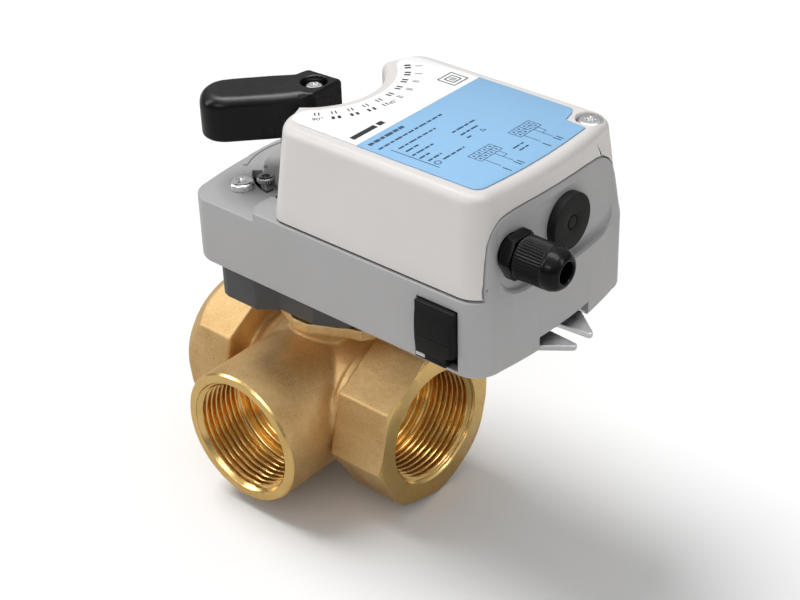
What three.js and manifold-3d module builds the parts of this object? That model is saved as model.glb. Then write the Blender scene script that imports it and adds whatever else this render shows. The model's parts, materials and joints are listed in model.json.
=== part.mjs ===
// Motorised three-way ball valve: a brass G 1 1/4 (DN 32) ball valve with a 90 degree electric actuator on its stem.
// Units are millimetres. +Z runs up the stem, +X runs along the two in-line ports (and along the actuator
// towards its cable entry), and -Y points out of the branch port. Every piece is laid out from the centre
// of the ball, and the finished group is then shifted so that its origin is the centre of its footprint,
// level with its lowest point.
import * as THREE from "three";
import { mergeVertices } from "three/addons/utils/BufferGeometryUtils.js";
import Module from "manifold-3d";

const wasm = await Module();
wasm.setup();
const { Manifold, Mesh } = wasm;

// ---------------------------------------------------------------- driving dimensions
// valve
const PORT_X = 48.2; // face of each in-line port
const BRANCH_Y = 46.5; // face of the branch port
const PORT_MINOR_R = 19.6; // bore left between the thread crests, G 1 1/4
const PORT_MOUTH_R = 21.3; // mouth chamfer
const THREAD_DEPTH = 20.7;
const FLOW_R = 11; // waterway
const OCT_AF = 54.6; // octagon across flats
const OCT_TURN = 8; // first octagon corner, degrees from +Y
const OCT_LENGTH = 22.4;
const BRANCH_R = 24.8; // outside of the branch tube
const BODY_R = 27; // outside of the middle of the body
const BODY_END_X = 24.4; // where the screwed connector meets the body
const BALL_R = 18.5;
const CAVITY_R = 19.4;
const SEAT_RO = 16.4;
const STEM_R = 6;
const STEM_AF = 8.4;
const STEM_TOP = 66;
const FLANGE_TOP = 37.4;
// actuator
const PLATE_Z0 = 59.4;
const PLATE_Z1 = 61.2;
const CASE_Z0 = 60.5;
const DECK_Z = 83.7;
const SEAM_Z = 86.7;
const CASE_X0 = -24.1;
const CASE_X1 = 98;
const CASE_W = 37.8; // half width
const CASE_CORNER = 9;
const BULGE_X0 = 2.3;
const BULGE_X1 = 2.66;
const WALL = 2.6;
const SHELF_Z0 = 80.7; // underside of the shelf the gear axles hang from
const COVER_Z0 = 87.2;
const COVER_TOP = 118.8;
const COVER_ARC_R = 22.7; // round bay in the cover that clears the hub
const HUB_R = 12;
const HUB_DISC_R = 18.2;
const HANDLE_Z0 = 101.6;
const HANDLE_Z1 = 116;
const HANDLE_ANGLE = -133; // arm direction, degrees
const HANDLE_LENGTH = 37.4;
// gears
const PRESSURE = 25;
const OUT_T = 36, OUT_M = 1;
const G1_SMALL_T = 12, G1_LARGE_T = 32, G1_LARGE_M = 0.8;
const G2_SMALL_T = 10, G2_LARGE_T = 28, G2_LARGE_M = 0.6;
const PINION_T = 10;
const G1_X = ((OUT_T + G1_SMALL_T) * OUT_M) / 2;
const G2_X = G1_X + ((G1_LARGE_T + G2_SMALL_T) * G1_LARGE_M) / 2;
const MOTOR_X = G2_X + ((G2_LARGE_T + PINION_T) * G2_LARGE_M) / 2;
// cable entries
const GLAND_Y = -20.5, GLAND_Z = 97.5;
const PLUG_Y = 1.6, PLUG_Z = 99;
const RECESS_X = 94.6; // floor of the recess in the end plate
const GLAND_TIP_X = 118.4;

const FINENESS = 0.62; // share of the round faces' full facet count

const rad = (d) => (d * Math.PI) / 180;

// ---------------------------------------------------------------- small tools
function solid(geometry, matrix) {
  const flat = geometry.index ? geometry.toNonIndexed() : geometry.clone();
  let g = new THREE.BufferGeometry().setAttribute("position", flat.getAttribute("position").clone());
  if (matrix) g.applyMatrix4(matrix);
  g = mergeVertices(g, 1e-4);
  const src = g.index.array, tri = [];
  for (let i = 0; i < src.length; i += 3) {
    const [a, b, c] = [src[i], src[i + 1], src[i + 2]];
    if (a !== b && b !== c && a !== c) tri.push(a, b, c);
  }
  const make = (t) =>
    new Manifold(new Mesh({ numProp: 3, vertProperties: new Float32Array(g.attributes.position.array), triVerts: new Uint32Array(t) }));
  let s = make(tri);
  if (s.volume() < 0) {
    for (let i = 0; i < tri.length; i += 3) [tri[i + 1], tri[i + 2]] = [tri[i + 2], tri[i + 1]];
    s = make(tri);
  }
  return s;
}
const T = (x, y, z) => new THREE.Matrix4().makeTranslation(x, y, z);
const ALONG_Z = new THREE.Matrix4();
const ALONG_X = new THREE.Matrix4().makeBasis(new THREE.Vector3(0, 1, 0), new THREE.Vector3(0, 0, 1), new THREE.Vector3(1, 0, 0));
const ALONG_NY = new THREE.Matrix4().makeBasis(new THREE.Vector3(1, 0, 0), new THREE.Vector3(0, 0, 1), new THREE.Vector3(0, -1, 0));
const place = (dir, x = 0, y = 0, z = 0) => T(x, y, z).multiply(dir);
// profile is [radius, height] pairs; an open profile starts and ends on the axis
function turned(profile, seg, matrix = ALONG_Z) {
  const g = new THREE.LatheGeometry(profile.map(([r, h]) => new THREE.Vector2(r, h)), Math.max(10, Math.round(seg * FINENESS)));
  g.applyMatrix4(new THREE.Matrix4().makeRotationX(Math.PI / 2));
  return solid(g, matrix);
}
const rod = (r, h0, h1, seg, m) => turned([[0, h0], [r, h0], [r, h1], [0, h1]], seg, m);
const ring = (ri, ro, h0, h1, seg, m) => turned([[ri, h0], [ro, h0], [ro, h1], [ri, h1], [ri, h0]], seg, m);
const box = (x0, x1, y0, y1, z0, z1) =>
  solid(new THREE.BoxGeometry(x1 - x0, y1 - y0, z1 - z0), T((x0 + x1) / 2, (y0 + y1) / 2, (z0 + z1) / 2));
const shapeOf = (pts) => new THREE.Shape(pts.map(([x, y]) => new THREE.Vector2(x, y)));
function prism(shape, h0, h1, m = ALONG_Z, seg = 6) {
  const g = new THREE.ExtrudeGeometry(shape, { depth: h1 - h0, bevelEnabled: false, curveSegments: seg });
  return solid(g, m.clone().multiply(T(0, 0, h0)));
}
const polyRing = (n, r, turn = 0) => Array.from({ length: n }, (_, k) => [r * Math.cos(rad(turn) + (2 * Math.PI * k) / n), r * Math.sin(rad(turn) + (2 * Math.PI * k) / n)]);
const hexRod = (af, h0, h1, m, turn = 0) => prism(shapeOf(polyRing(6, af / Math.sqrt(3), turn)), h0, h1, m);
function arc(cx, cy, r, a0, a1, n) {
  return Array.from({ length: n + 1 }, (_, i) => {
    const a = rad(a0 + ((a1 - a0) * i) / n);
    return [cx + r * Math.cos(a), cy + r * Math.sin(a)];
  });
}
// a closed skin through rings of equal point count, capped at both ends
function loft(rings) {
  const n = rings[0].length, pos = [];
  const tri = (a, b, c) => pos.push(...a, ...b, ...c);
  for (let k = 0; k + 1 < rings.length; k++)
    for (let i = 0; i < n; i++) {
      const j = (i + 1) % n;
      tri(rings[k][i], rings[k][j], rings[k + 1][j]);
      tri(rings[k][i], rings[k + 1][j], rings[k + 1][i]);
    }
  const cap = (loop, up) => {
    const faces = THREE.ShapeUtils.triangulateShape(loop.map((p) => new THREE.Vector2(p[0], p[1])), []);
    for (const [a, b, c] of faces) up ? tri(loop[a], loop[b], loop[c]) : tri(loop[a], loop[c], loop[b]);
  };
  cap(rings[0], false);
  cap(rings[rings.length - 1], true);
  return solid(new THREE.BufferGeometry().setAttribute("position", new THREE.Float32BufferAttribute(pos, 3)));
}
const level = (pts, z) => pts.map(([x, y]) => [x, y, z]);

// plan of the case: a rounded rectangle whose two ends swell a little
function caseEnd(inset) {
  const xr = CASE_X1 - inset, w = CASE_W - inset, r = Math.max(CASE_CORNER - inset * 0.5, 1);
  const bulge = [];
  for (let i = 1; i < 6; i++) {
    const y = (w - r) * (i / 3 - 1);
    bulge.push([xr + BULGE_X1 * (1 - (y / (w - r)) ** 2), y]);
  }
  return [...arc(xr - r, -(w - r), r, 270, 360, 5), ...bulge, ...arc(xr - r, w - r, r, 0, 90, 5)];
}
function casePlan(inset) {
  const xl = CASE_X0 + inset, w = CASE_W - inset, r = Math.max(CASE_CORNER - inset * 0.5, 1);
  const bulge = [];
  for (let i = 1; i < 6; i++) {
    const y = (w - r) * (1 - i / 3);
    bulge.push([xl - BULGE_X0 * (1 - (y / (w - r)) ** 2), y]);
  }
  return [...caseEnd(inset), ...arc(xl + r, w - r, r, 90, 180, 5), ...bulge, ...arc(xl + r, -(w - r), r, 180, 270, 5)];
}
// plan of the cover: the same end and sides, with two arms either side of a round bay
function coverPlan(inset, armX, arcR) {
  const w = CASE_W - inset, r = 3;
  return [
    ...caseEnd(inset),
    ...arc(armX + r, w - r, r, 90, 180, 3),
    ...arc(0, 0, arcR, 57, -57, 12),
    ...arc(armX + r, -(w - r), r, 180, 270, 3),
  ];
}

// involute tooth outline with a tooth centred on the angle "phase"
function gearShape(n, m, phase, slack = 0.14) {
  const a = rad(PRESSURE), rp = (n * m) / 2, rb = rp * Math.cos(a), ra = rp + 0.8 * m, rf = rp - 1.05 * m;
  const inv = (t) => Math.tan(t) - t;
  const half = Math.PI / (2 * n) - slack / (2 * rp);
  const at = (r) => half + inv(a) - inv(Math.acos(Math.min(1, rb / r)));
  const r0 = Math.max(rb, rf + 0.02), rs = [r0, ra], pts = [];
  for (let k = 0; k < n; k++) {
    const c = phase + (2 * Math.PI * k) / n;
    const put = (r, t) => pts.push([r * Math.cos(c + t), r * Math.sin(c + t)]);
    put(rf, -at(r0));
    for (const r of rs) put(r, -at(r));
    for (const r of [...rs].reverse()) put(r, at(r));
    put(rf, at(r0));
  }
  return shapeOf(pts);
}

// ---------------------------------------------------------------- materials
const M = (color, roughness, metalness = 0) => new THREE.MeshStandardMaterial({ color, roughness, metalness });
const mat = {
  brass: () => M(0xd2b47c, 0.5, 0.9),
  ball: () => M(0xd8d4cc, 0.15, 1),
  ptfe: () => M(0xf2f1ec, 0.5),
  rubber: () => M(0x1c1c1e, 0.8),
  adapter: () => M(0x46484b, 0.55),
  base: () => M(0xa6a5a5, 0.4),
  cover: () => M(0xd0ccca, 0.45),
  label: () => M(0xeef3f8, 0.4),
  black: () => M(0x0c0c0d, 0.2),
  satin: () => M(0x19191b, 0.45),
  zinc: () => M(0xc9ccd0, 0.3, 1),
  steel: () => M(0xb4b6ba, 0.3, 1),
  chrome: () => M(0xe2e4e6, 0.12, 1),
  bronze: () => M(0xa9794a, 0.4, 0.9),
  gear: () => M(0xe6e0cf, 0.5),
  pcb: () => M(0x1f6b3a, 0.5),
  terminal: () => M(0x3d9a55, 0.5),
  dark: () => M(0x2a2b2e, 0.5),
};
const product = new THREE.Group();
function add(name, s, material) {
  const m = s.getMesh(), n = m.numProp, v = new Float32Array(m.numVert * 3);
  for (let i = 0; i < m.numVert; i++) v.set(m.vertProperties.subarray(i * n, i * n + 3), i * 3);
  const g = new THREE.BufferGeometry().setAttribute("position", new THREE.BufferAttribute(v, 3)).setIndex(new THREE.BufferAttribute(m.triVerts, 1));
  g.computeVertexNormals();
  const mesh = new THREE.Mesh(g, material());
  mesh.name = name;
  product.add(mesh);
  return s;
}
const join = (...s) => s.reduce((a, b) => a.add(b));
const cut = (a, ...s) => s.reduce((x, b) => x.subtract(b), a);

// ---------------------------------------------------------------- valve
const octagon = (h0, h1) => prism(shapeOf(polyRing(8, OCT_AF / 2 / Math.cos(Math.PI / 8), OCT_TURN)), h0, h1, ALONG_X);
const portBore = (m, face) =>
  join(
    turned([[0, face - THREAD_DEPTH], [PORT_MINOR_R, face - THREAD_DEPTH], [PORT_MINOR_R, face - 1.9], [PORT_MOUTH_R, face - 0.2], [PORT_MOUTH_R, face + 1], [0, face + 1]], 40, m),
    rod(FLOW_R, 0, face - THREAD_DEPTH + 0.5, 32, m),
  );
const ALONG_NX = new THREE.Matrix4().makeBasis(new THREE.Vector3(0, -1, 0), new THREE.Vector3(0, 0, 1), new THREE.Vector3(-1, 0, 0));
{
  const leftEnd = octagon(-PORT_X, -PORT_X + OCT_LENGTH).intersect(
    turned([[0, PORT_X], [24.6, PORT_X], [30, PORT_X - 7.4], [30, 20], [0, 20]], 40, ALONG_NX),
  );
  const middle = turned([[0, -27], [17.6, -27], [18.6, -22.5], [21.6, -18.5], [25.2, -14], [BODY_R, -9], [BODY_R, 14.6], [26.2, 16], [26.4, 17.4], [26.4, BODY_END_X], [0, BODY_END_X]], 48, ALONG_X);
  const branch = turned([[0, 0], [BRANCH_R, 0], [BRANCH_R, BRANCH_Y - 0.8], [BRANCH_R - 0.8, BRANCH_Y], [0, BRANCH_Y]], 48, ALONG_NY);
  const boss = join(rod(12.4, 15, FLANGE_TOP, 32), rod(15.5, 31, FLANGE_TOP, 32));
  const lug = (a) => {
    const c = [17 * Math.cos(rad(a)), 17 * Math.sin(rad(a))];
    return join(rod(5.4, 31, FLANGE_TOP, 16, T(c[0], c[1], 0)), box(-8, 8, -16, 0, 31, FLANGE_TOP).rotate([0, 0, a + 90]));
  };
  let body = join(leftEnd, middle, branch, boss, lug(-76), lug(104));
  body = cut(
    body,
    portBore(ALONG_NX, PORT_X),
    portBore(ALONG_NY, BRANCH_Y),
    rod(CAVITY_R, -14.2, 14.1, 48, ALONG_X),
    rod(22, 14, BODY_END_X + 1, 48, ALONG_X),
    rod(26.9, BODY_END_X, 30, 48, ALONG_X),
    rod(2.5, 30, 38, 14, T(17 * Math.cos(rad(-76)), 17 * Math.sin(rad(-76)), 0)),
    rod(2.5, 30, 38, 14, T(17 * Math.cos(rad(104)), 17 * Math.sin(rad(104)), 0)),
    rod(SEAT_RO + 0.1, 12, 19.7, 32, ALONG_NX),
    rod(14.1, 8, 21.4, 32, ALONG_NY),
    rod(8, 12, 21.4, 24),
    rod(STEM_R + 0.2, 12, 39, 24),
    rod(9, 26, 39, 24),
  );
  add("valve_body", body, mat.brass);

  let connector = join(
    rod(21.85, 14.3, 26, 48, ALONG_X),
    rod(26.4, BODY_END_X + 0.9, PORT_X - OCT_LENGTH + 0.1, 48, ALONG_X),
    octagon(PORT_X - OCT_LENGTH, PORT_X).intersect(turned([[0, 20], [31, 20], [31, PORT_X - 1.6], [28.4, PORT_X], [0, PORT_X]], 40, ALONG_X)),
  );
  connector = cut(connector, portBore(ALONG_X, PORT_X), rod(SEAT_RO + 0.1, 14, 19.7, 32, ALONG_X));
  add("end_connector", connector, mat.brass);
  add("connector_seal", ring(22.1, 26, BODY_END_X + 0.1, BODY_END_X + 0.8, 48, ALONG_X), mat.rubber);

  const seatProfile = (depth, ro = SEAT_RO) => [[11.1, 14.99], [12.1, 14.19], [13, 13.38], [ro - 0.1, ro + 0.3], [ro, ro + 0.5], [ro, depth], [11.1, depth], [11.1, 14.99]];
  add("seat_left", turned(seatProfile(19.5), 32, ALONG_NX), mat.ptfe);
  add("seat_right", turned(seatProfile(19.5), 32, ALONG_X), mat.ptfe);
  add("seat_branch", turned(seatProfile(21.2, 14), 32, ALONG_NY), mat.ptfe);

  const arcPts = [];
  for (let i = 0; i <= 16; i++) arcPts.push([BALL_R * Math.sin((Math.PI * i) / 16), -BALL_R * Math.cos((Math.PI * i) / 16)]);
  arcPts[0][0] = 0;
  arcPts[16][0] = 0;
  const ball = cut(turned(arcPts, 32), rod(FLOW_R, -20, 20, 32, ALONG_X), rod(FLOW_R, 0, 20, 32, ALONG_NY), box(-4.7, 4.7, -2.15, 2.15, 14, 20));
  add("ball", ball, mat.ball);
  const stem = join(
    box(-4.5, 4.5, -2, 2, 14.3, 19.2),
    rod(7.7, 18.8, 20.4, 24),
    rod(STEM_R, 20, 42.2, 24),
    box(-STEM_AF / 2, STEM_AF / 2, -STEM_AF / 2, STEM_AF / 2, 41.5, STEM_TOP),
  );
  add("valve_stem", stem, mat.brass);
  add("thrust_washer", ring(6.2, 7.9, 20.5, 21.3, 24), mat.ptfe);
  add("stem_packing", ring(6.2, 8.9, 26.1, 33, 24), mat.ptfe);
  add("packing_nut", cut(join(rod(8.9, 33.1, 38, 24), hexRod(17, 37.7, 41)), rod(6.2, 33, 42, 24)), mat.brass);
}

// ---------------------------------------------------------------- adapter between valve and actuator
{
  const half = [[-26.1, 0], [-26.1, 22], [-25.2, 24.6], [-22.6, 25.4], [-9, 25.4], [-2, 20.4], [13, 20.2], [23.5, 14.5], [25.6, 10], [25.6, 0]];
  const pts = [...half.map(([x, y]) => [x, -y]).reverse().slice(1), ...half.slice(1, -1)].map((p) => p);
  const plan = [...half.slice(1, -1).map(([x, y]) => [x, -y]), [25.6, 0], ...half.slice(1, -1).reverse(), [-26.1, 0]];
  let s = prism(shapeOf(plan), FLANGE_TOP + 0.3, PLATE_Z0 - 0.1);
  s = cut(s, rod(12, 37, 60, 32));
  for (const a of [-76, 104]) s = cut(s, rod(2.5, 37, 50, 14, T(17 * Math.cos(rad(a)), 17 * Math.sin(rad(a)), 0)));
  add("mounting_adapter", s, mat.adapter);
  const screw = (a) => {
    const m = T(17 * Math.cos(rad(a)), 17 * Math.sin(rad(a)), 0);
    return cut(join(rod(2.3, 30, 49, 14, m), rod(4.2, 27, 30.8, 18, m)), hexRod(4, 26, 29, m));
  };
  add("adapter_screw_front", screw(-76), mat.zinc);
  add("adapter_screw_rear", screw(104), mat.zinc);
}

// ---------------------------------------------------------------- case
const archShape = (grow) => {
  const b = 35.2 + grow, t = 34 + grow, z = 112.5 + grow, r = 10;
  return shapeOf([[-b, 80], [b, 80], [b, 88], ...arc(t - r, z - r, r, 0, 90, 6), ...arc(-(t - r), z - r, r, 90, 180, 6), [-b, 88]]);
};
const shellRings = (extra, arm, arcs) => [
  level(coverPlan(0.6 + extra, 13.5 + arm, COVER_ARC_R + arcs), COVER_Z0 - (extra ? 1 : 0)),
  level(coverPlan(3.9 + extra, 15.6 + arm, COVER_ARC_R + arcs), 115.8 - (extra ? 1.4 : 0)),
  level(coverPlan(5.1 + extra, 15.9 + arm, COVER_ARC_R + 0.8 + arcs), 117.9 - extra),
  level(coverPlan(7.3 + extra * 0.6, 16.7 + arm, COVER_ARC_R + 3 + arcs * 0.6), COVER_TOP - extra),
];
{
  // full drafted end, used for the end plate only
  const endBlock = loft([level(casePlan(0.6), SEAM_Z - 2), level(casePlan(0.6), COVER_Z0), level(casePlan(3.9), 115.8)]);
  const outer = loft([level(casePlan(-0.1), CASE_Z0), level(casePlan(0.05), SEAM_Z)]);
  let s = outer;
  // lowered deck behind the cover, round the output hub
  const edge = [[-40, -50], [6.7, -50], [6.7, -37], [5, -35.7], [4, -34], [3, -30], ...arc(0, 0, 26.4, -84, 84, 18), [3, 30], [4, 34], [5, 35.7], [6.7, 37], [6.7, 50], [-40, 50]];
  s = cut(s, prism(shapeOf(edge), DECK_Z, SEAM_Z + 1));
  // tray under the cover
  const tray = loft([level(casePlan(WALL + 1.2), DECK_Z), level(casePlan(WALL + 1.2), SEAM_Z + 1)]);
  const trayEdge = [[9, -60], [120, -60], [120, 60], [9, 60], [7.5, 30], ...arc(0, 0, 29, 74, -74, 14), [7.5, -30]];
  s = cut(s, tray.intersect(prism(shapeOf(trayEdge), DECK_Z, SEAM_Z + 2)));
  // gear chamber, open below and closed by the steel plate
  s = cut(s, loft([level(casePlan(WALL), PLATE_Z1), level(casePlan(WALL), SHELF_Z0)]));
  s = cut(s, loft([level(casePlan(1.2), CASE_Z0 - 1), level(casePlan(1.2), PLATE_Z1 + 0.1)]));
  // end plate standing up inside the arch of the cover, with its recess and two cable entries
  let end = endBlock.intersect(prism(archShape(0), 92.2, 104, ALONG_X));
  const recess = shapeOf([...arc(-21.5, 96.6, 10.8, 180, 270, 6), ...arc(17, 96.4, 10.6, 270, 360, 6), ...arc(17, 100, 10.6, 0, 90, 6), ...arc(-21.5, 98.2, 10.8, 90, 180, 6)]);
  end = cut(end, prism(recess, RECESS_X, 105, ALONG_X), rod(6.2, 90, 100, 24, place(ALONG_X, 0, GLAND_Y, GLAND_Z)), rod(6.2, 90, 100, 24, place(ALONG_X, 0, PLUG_Y, PLUG_Z)));
  s = join(s, end);
  // hub hole, stop slots, axle holes, motor shaft hole
  s = cut(s, rod(14.5, 80, 88, 32), rod(1.56, 80, 82.6, 12, T(G1_X, 0, 0)), rod(1.06, 80, 82.6, 12, T(G2_X, 0, 0)), rod(1.6, 80, 85, 12, T(MOTOR_X, 0, 0)));
  for (const sgn of [-1, 1]) {
    const slot = shapeOf([...arc(0, 0, 22.1, sgn * 98, sgn * 142, 8), ...arc(0, 0, 18.9, sgn * 142, sgn * 98, 8)]);
    s = cut(s, prism(slot, 79, 88), rod(1.7, 79, 88, 12, T(-12.2, sgn * 23.9, 0)));
  }
  // window for the release button, its spring rib, and the notch over the fork
  s = cut(s, box(73.7, 89.2, -39.5, -27, 61.9, 82.8), box(93, 104, -12.6, 12.6, 58, 65.4));
  s = join(s, box(77, 86, -19.5, -17.3, 66, 81.5));
  // pillars for the circuit board and the cover screw
  for (const [x, y] of [[70, -27], [70, 17], [87, -27], [82, 17]]) s = join(s, rod(2.4, 83, 87.1, 12, T(x, y, 0)));
  s = join(s, cut(rod(4.2, 83, 88.6, 16, T(88.3, 27.3, 0)), rod(1.75, 84.5, 90, 12, T(88.3, 27.3, 0))));
  add("base_housing", s, mat.base);

  // steel plate under the gears; its pointed fork takes the pin that stops the actuator turning
  const plan = casePlan(1.5).map(([x, y]) => [x, y]);
  let plate = prism(shapeOf(plan), PLATE_Z0, PLATE_Z1);
  const fork = shapeOf([[88, -12.2], [98, -12.2], [107.6, -4.6], [107.6, -3.4], [95.5, -2.3], [95.5, 2.3], [107.6, 3.4], [107.6, 4.6], [98, 12.2], [88, 12.2]]);
  plate = join(cut(plate, box(93.8, 110, -14, 14, 58, 63)), prism(fork, PLATE_Z0, PLATE_Z1));
  plate = cut(plate, rod(11.6, 58, 63, 32), box(93.8, 110, -2.3, 2.3, 58, 63));
  add("bottom_plate", plate, mat.zinc);
  add("lower_bush", cut(join(ring(9.15, 11.5, PLATE_Z0 - 0.05, 63.2, 32), ring(9.15, 13, PLATE_Z1 + 0.05, 63.2, 32)), rod(9.14, 50, 70, 32)), mat.bronze);

  // cover shell
  let cover = cut(loft(shellRings(0, 0, 0)), loft(shellRings(2.2, 2.2, 2.2)));
  cover = cut(cover, prism(archShape(0.5), 90.5, 106, ALONG_X));
  cover = join(cover, rod(3.6, 89, 117.5, 16, T(88.3, 27.3, 0)));
  cover = cut(cover, rod(1.8, 85, 119, 12, T(88.3, 27.3, 0)), rod(4.3, 115.9, 120, 20, T(88.3, 27.3, 0)));
  add("cover", cover, mat.cover);
  add("cover_screw", cut(join(rod(1.65, 85, 116.5, 12, T(88.3, 27.3, 0)), turned([[0, 116], [3.9, 116], [3.9, 117.2], [2.8, 118.2], [0, 118.5]], 18, T(88.3, 27.3, 0))), box(84.8, 91.8, 26.8, 27.8, 117.3, 119), box(87.8, 88.8, 23.8, 30.8, 117.3, 119)), mat.chrome);
  const gasket = cut(
    loft([level(coverPlan(1.3, 14.3, 23.4), SEAM_Z + 0.05), level(coverPlan(1.3, 14.3, 23.4), SEAM_Z + 0.45)]),
    loft([level(coverPlan(2.7, 15.7, 24.8), SEAM_Z - 1), level(coverPlan(2.7, 15.7, 24.8), SEAM_Z + 2)]),
    prism(archShape(0.5), 88, 106, ALONG_X),
    rod(26.5, 80, 90, 48),
  );
  const label = cut(
    prism(shapeOf([[17.6, -27.8], ...arc(87.2, -26.6, 2.4, -80, 0, 3), ...arc(87.2, 26.6, 2.4, 0, 80, 3), [17.6, 27.8], ...arc(0, 0, 26.2, 55, -55, 16)]), COVER_TOP + 0.05, COVER_TOP + 0.35),
    rod(6.2, 118, 120, 20, T(88.3, 27.3, 0)),
    box(88.3, 95, 21.1, 35, 118, 120),
  );
  add("label", label, mat.label);
  globalThis.gasketBodies = gasket.decompose();
}
{
  // gasket strips under the cover, one along each side
  const pieces = globalThis.gasketBodies.filter((b) => b.volume() > 5);
  delete globalThis.gasketBodies;
  pieces.sort((a, b) => a.boundingBox().min[1] - b.boundingBox().min[1]);
  if (pieces.length === 1) add("cover_gasket", pieces[0], mat.rubber);
  else {
    add("cover_gasket_front", pieces[0], mat.rubber);
    add("cover_gasket_rear", pieces[pieces.length - 1], mat.rubber);
  }
}

// ---------------------------------------------------------------- output: coupling, gear, hub, handle
{
  const sq = (h, z0, z1) => box(-h, h, -h, h, z0, z1);
  add("drive_coupling", cut(join(rod(9, 42.5, 63.6, 32), sq(6.2, 63.5, 105.4)), sq(STEM_AF / 2 + 0.08, 42, 67), rod(2.45, 91, 106, 14)), mat.steel);
  add("output_gear", cut(prism(gearShape(OUT_T, OUT_M, 0), 64, 72), sq(6.28, 63, 73)), mat.gear);
  add("output_hub", cut(join(rod(HUB_R, 78.5, HANDLE_Z0 - 0.1, 32), rod(9.8, 72.2, 79, 28), rod(HUB_DISC_R, 84.9, 86.5, 40)), sq(6.28, 70, 103)), mat.base);
  add("upper_bush", cut(join(ring(12.25, 14.4, 80.8, 84.7, 32), ring(12.25, 16.4, DECK_Z + 0.05, 84.7, 32)), rod(12.24, 70, 90, 32)), mat.bronze);

  const a = rad(HANDLE_ANGLE), c = Math.cos(a), s0 = Math.sin(a);
  const toArm = new THREE.Matrix4().makeRotationZ(a);
  // outline in the arm's own frame: +x along the arm
  const half = [[HANDLE_LENGTH, 0.3], [HANDLE_LENGTH - 0.4, 4], [HANDLE_LENGTH - 2.4, 7.2], [HANDLE_LENGTH - 5.8, 9], [14, 9.6], [8, 9.8], [1, 10.2], [-6.4, 6.4], [-10.6, 0.9]];
  const plan = (k) => {
    const up = half.map(([x, y]) => [x > 0 ? x - k : x + k * 0.7, Math.max(y - k, 0.3)]);
    return [...up, ...up.slice(1).reverse().map(([x, y]) => [x, -y])];
  };
  const ringAt = (k, z) => plan(k).map(([x, y]) => [x * c - y * s0, x * s0 + y * c, z]);
  let handle = loft([ringAt(1.6, HANDLE_Z0), ringAt(0.4, HANDLE_Z0 + 0.8), ringAt(0, HANDLE_Z0 + 2.2), ringAt(0, HANDLE_Z1 - 3), ringAt(0.7, HANDLE_Z1 - 1.1), ringAt(2.4, HANDLE_Z1)]);
  handle = cut(handle, sq(6.3, 100, 106), rod(2.5, 100, 113, 14), rod(4.9, 111.8, 118, 24));
  add("handle", handle, mat.black);
  let screw = join(rod(2.35, 91.5, 112.5, 14), turned([[0, 111.95], [4.2, 111.95], [4.2, 113.4], [3.2, 114.7], [0, 115.3]], 24));
  screw = cut(screw, box(-2.4, 2.4, -0.5, 0.5, 113.4, 116), box(-0.5, 0.5, -2.4, 2.4, 113.4, 116));
  add("handle_screw", screw, mat.chrome);
}

// ---------------------------------------------------------------- gear train and motor
{
  const gap = (n) => Math.PI + Math.PI / n; // a space, not a tooth, faces -X
  const at = (x) => T(x, 0, 0);
  add("intermediate_gear", cut(join(prism(gearShape(G1_SMALL_T, OUT_M, gap(G1_SMALL_T)), 63.6, 72.4, at(G1_X)), rod(4, 72, 73.4, 20, at(G1_X)), prism(gearShape(G1_LARGE_T, G1_LARGE_M, 0), 73.1, 77, at(G1_X))), rod(1.6, 60, 80, 14, at(G1_X))), mat.gear);
  add("reduction_gear", cut(join(prism(gearShape(G2_LARGE_T, G2_LARGE_M, 0), 68, 71.5, at(G2_X)), rod(3, 71, 73.4, 18, at(G2_X)), prism(gearShape(G2_SMALL_T, G1_LARGE_M, gap(G2_SMALL_T)), 72.9, 77.3, at(G2_X))), rod(1.08, 60, 80, 14, at(G2_X))), mat.gear);
  add("motor_pinion", cut(prism(gearShape(PINION_T, G2_LARGE_M, gap(PINION_T)), 67.6, 71.9, at(MOTOR_X)), rod(1.03, 60, 80, 14, at(MOTOR_X))), mat.bronze);
  add("motor_shaft", rod(0.98, 67, 99, 14, at(MOTOR_X)), mat.steel);
  add("gear_axle_1", rod(1.5, PLATE_Z1 + 0.1, 82.4, 14, at(G1_X)), mat.steel);
  add("gear_axle_2", rod(1, PLATE_Z1 + 0.1, 82.4, 14, at(G2_X)), mat.steel);
  add("motor", cut(join(rod(13, DECK_Z + 0.2, 107.6, 32, at(MOTOR_X)), rod(4.5, 107, 109.4, 18, at(MOTOR_X))), rod(1.1, 80, 99.4, 14, at(MOTOR_X))), mat.steel);
}

// ---------------------------------------------------------------- electronics
{
  add("circuit_board", box(67.5, 89.2, -30, 19.5, 87.2, 88.8), mat.pcb);
  let block = box(69.5, 79.5, -21, 9, 88.9, 98.2);
  for (let i = 0; i < 5; i++) block = cut(block, rod(1.8, 95.4, 99, 10, T(72.8, -18 + i * 6, 0)), box(76, 80, -19.6 + i * 6, -16.4 + i * 6, 90.2, 94));
  add("terminal_block", block, mat.terminal);
  add("capacitor", rod(4, 88.9, 101, 18, T(84, 12.5, 0)), mat.dark);
  const sw = join(box(29.8, 35.6, -10, 10, DECK_Z + 0.1, 92.5), box(31.6, 33.6, -2, 2, 92, 93.8));
  add("limit_switch", sw, mat.dark);
}

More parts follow.
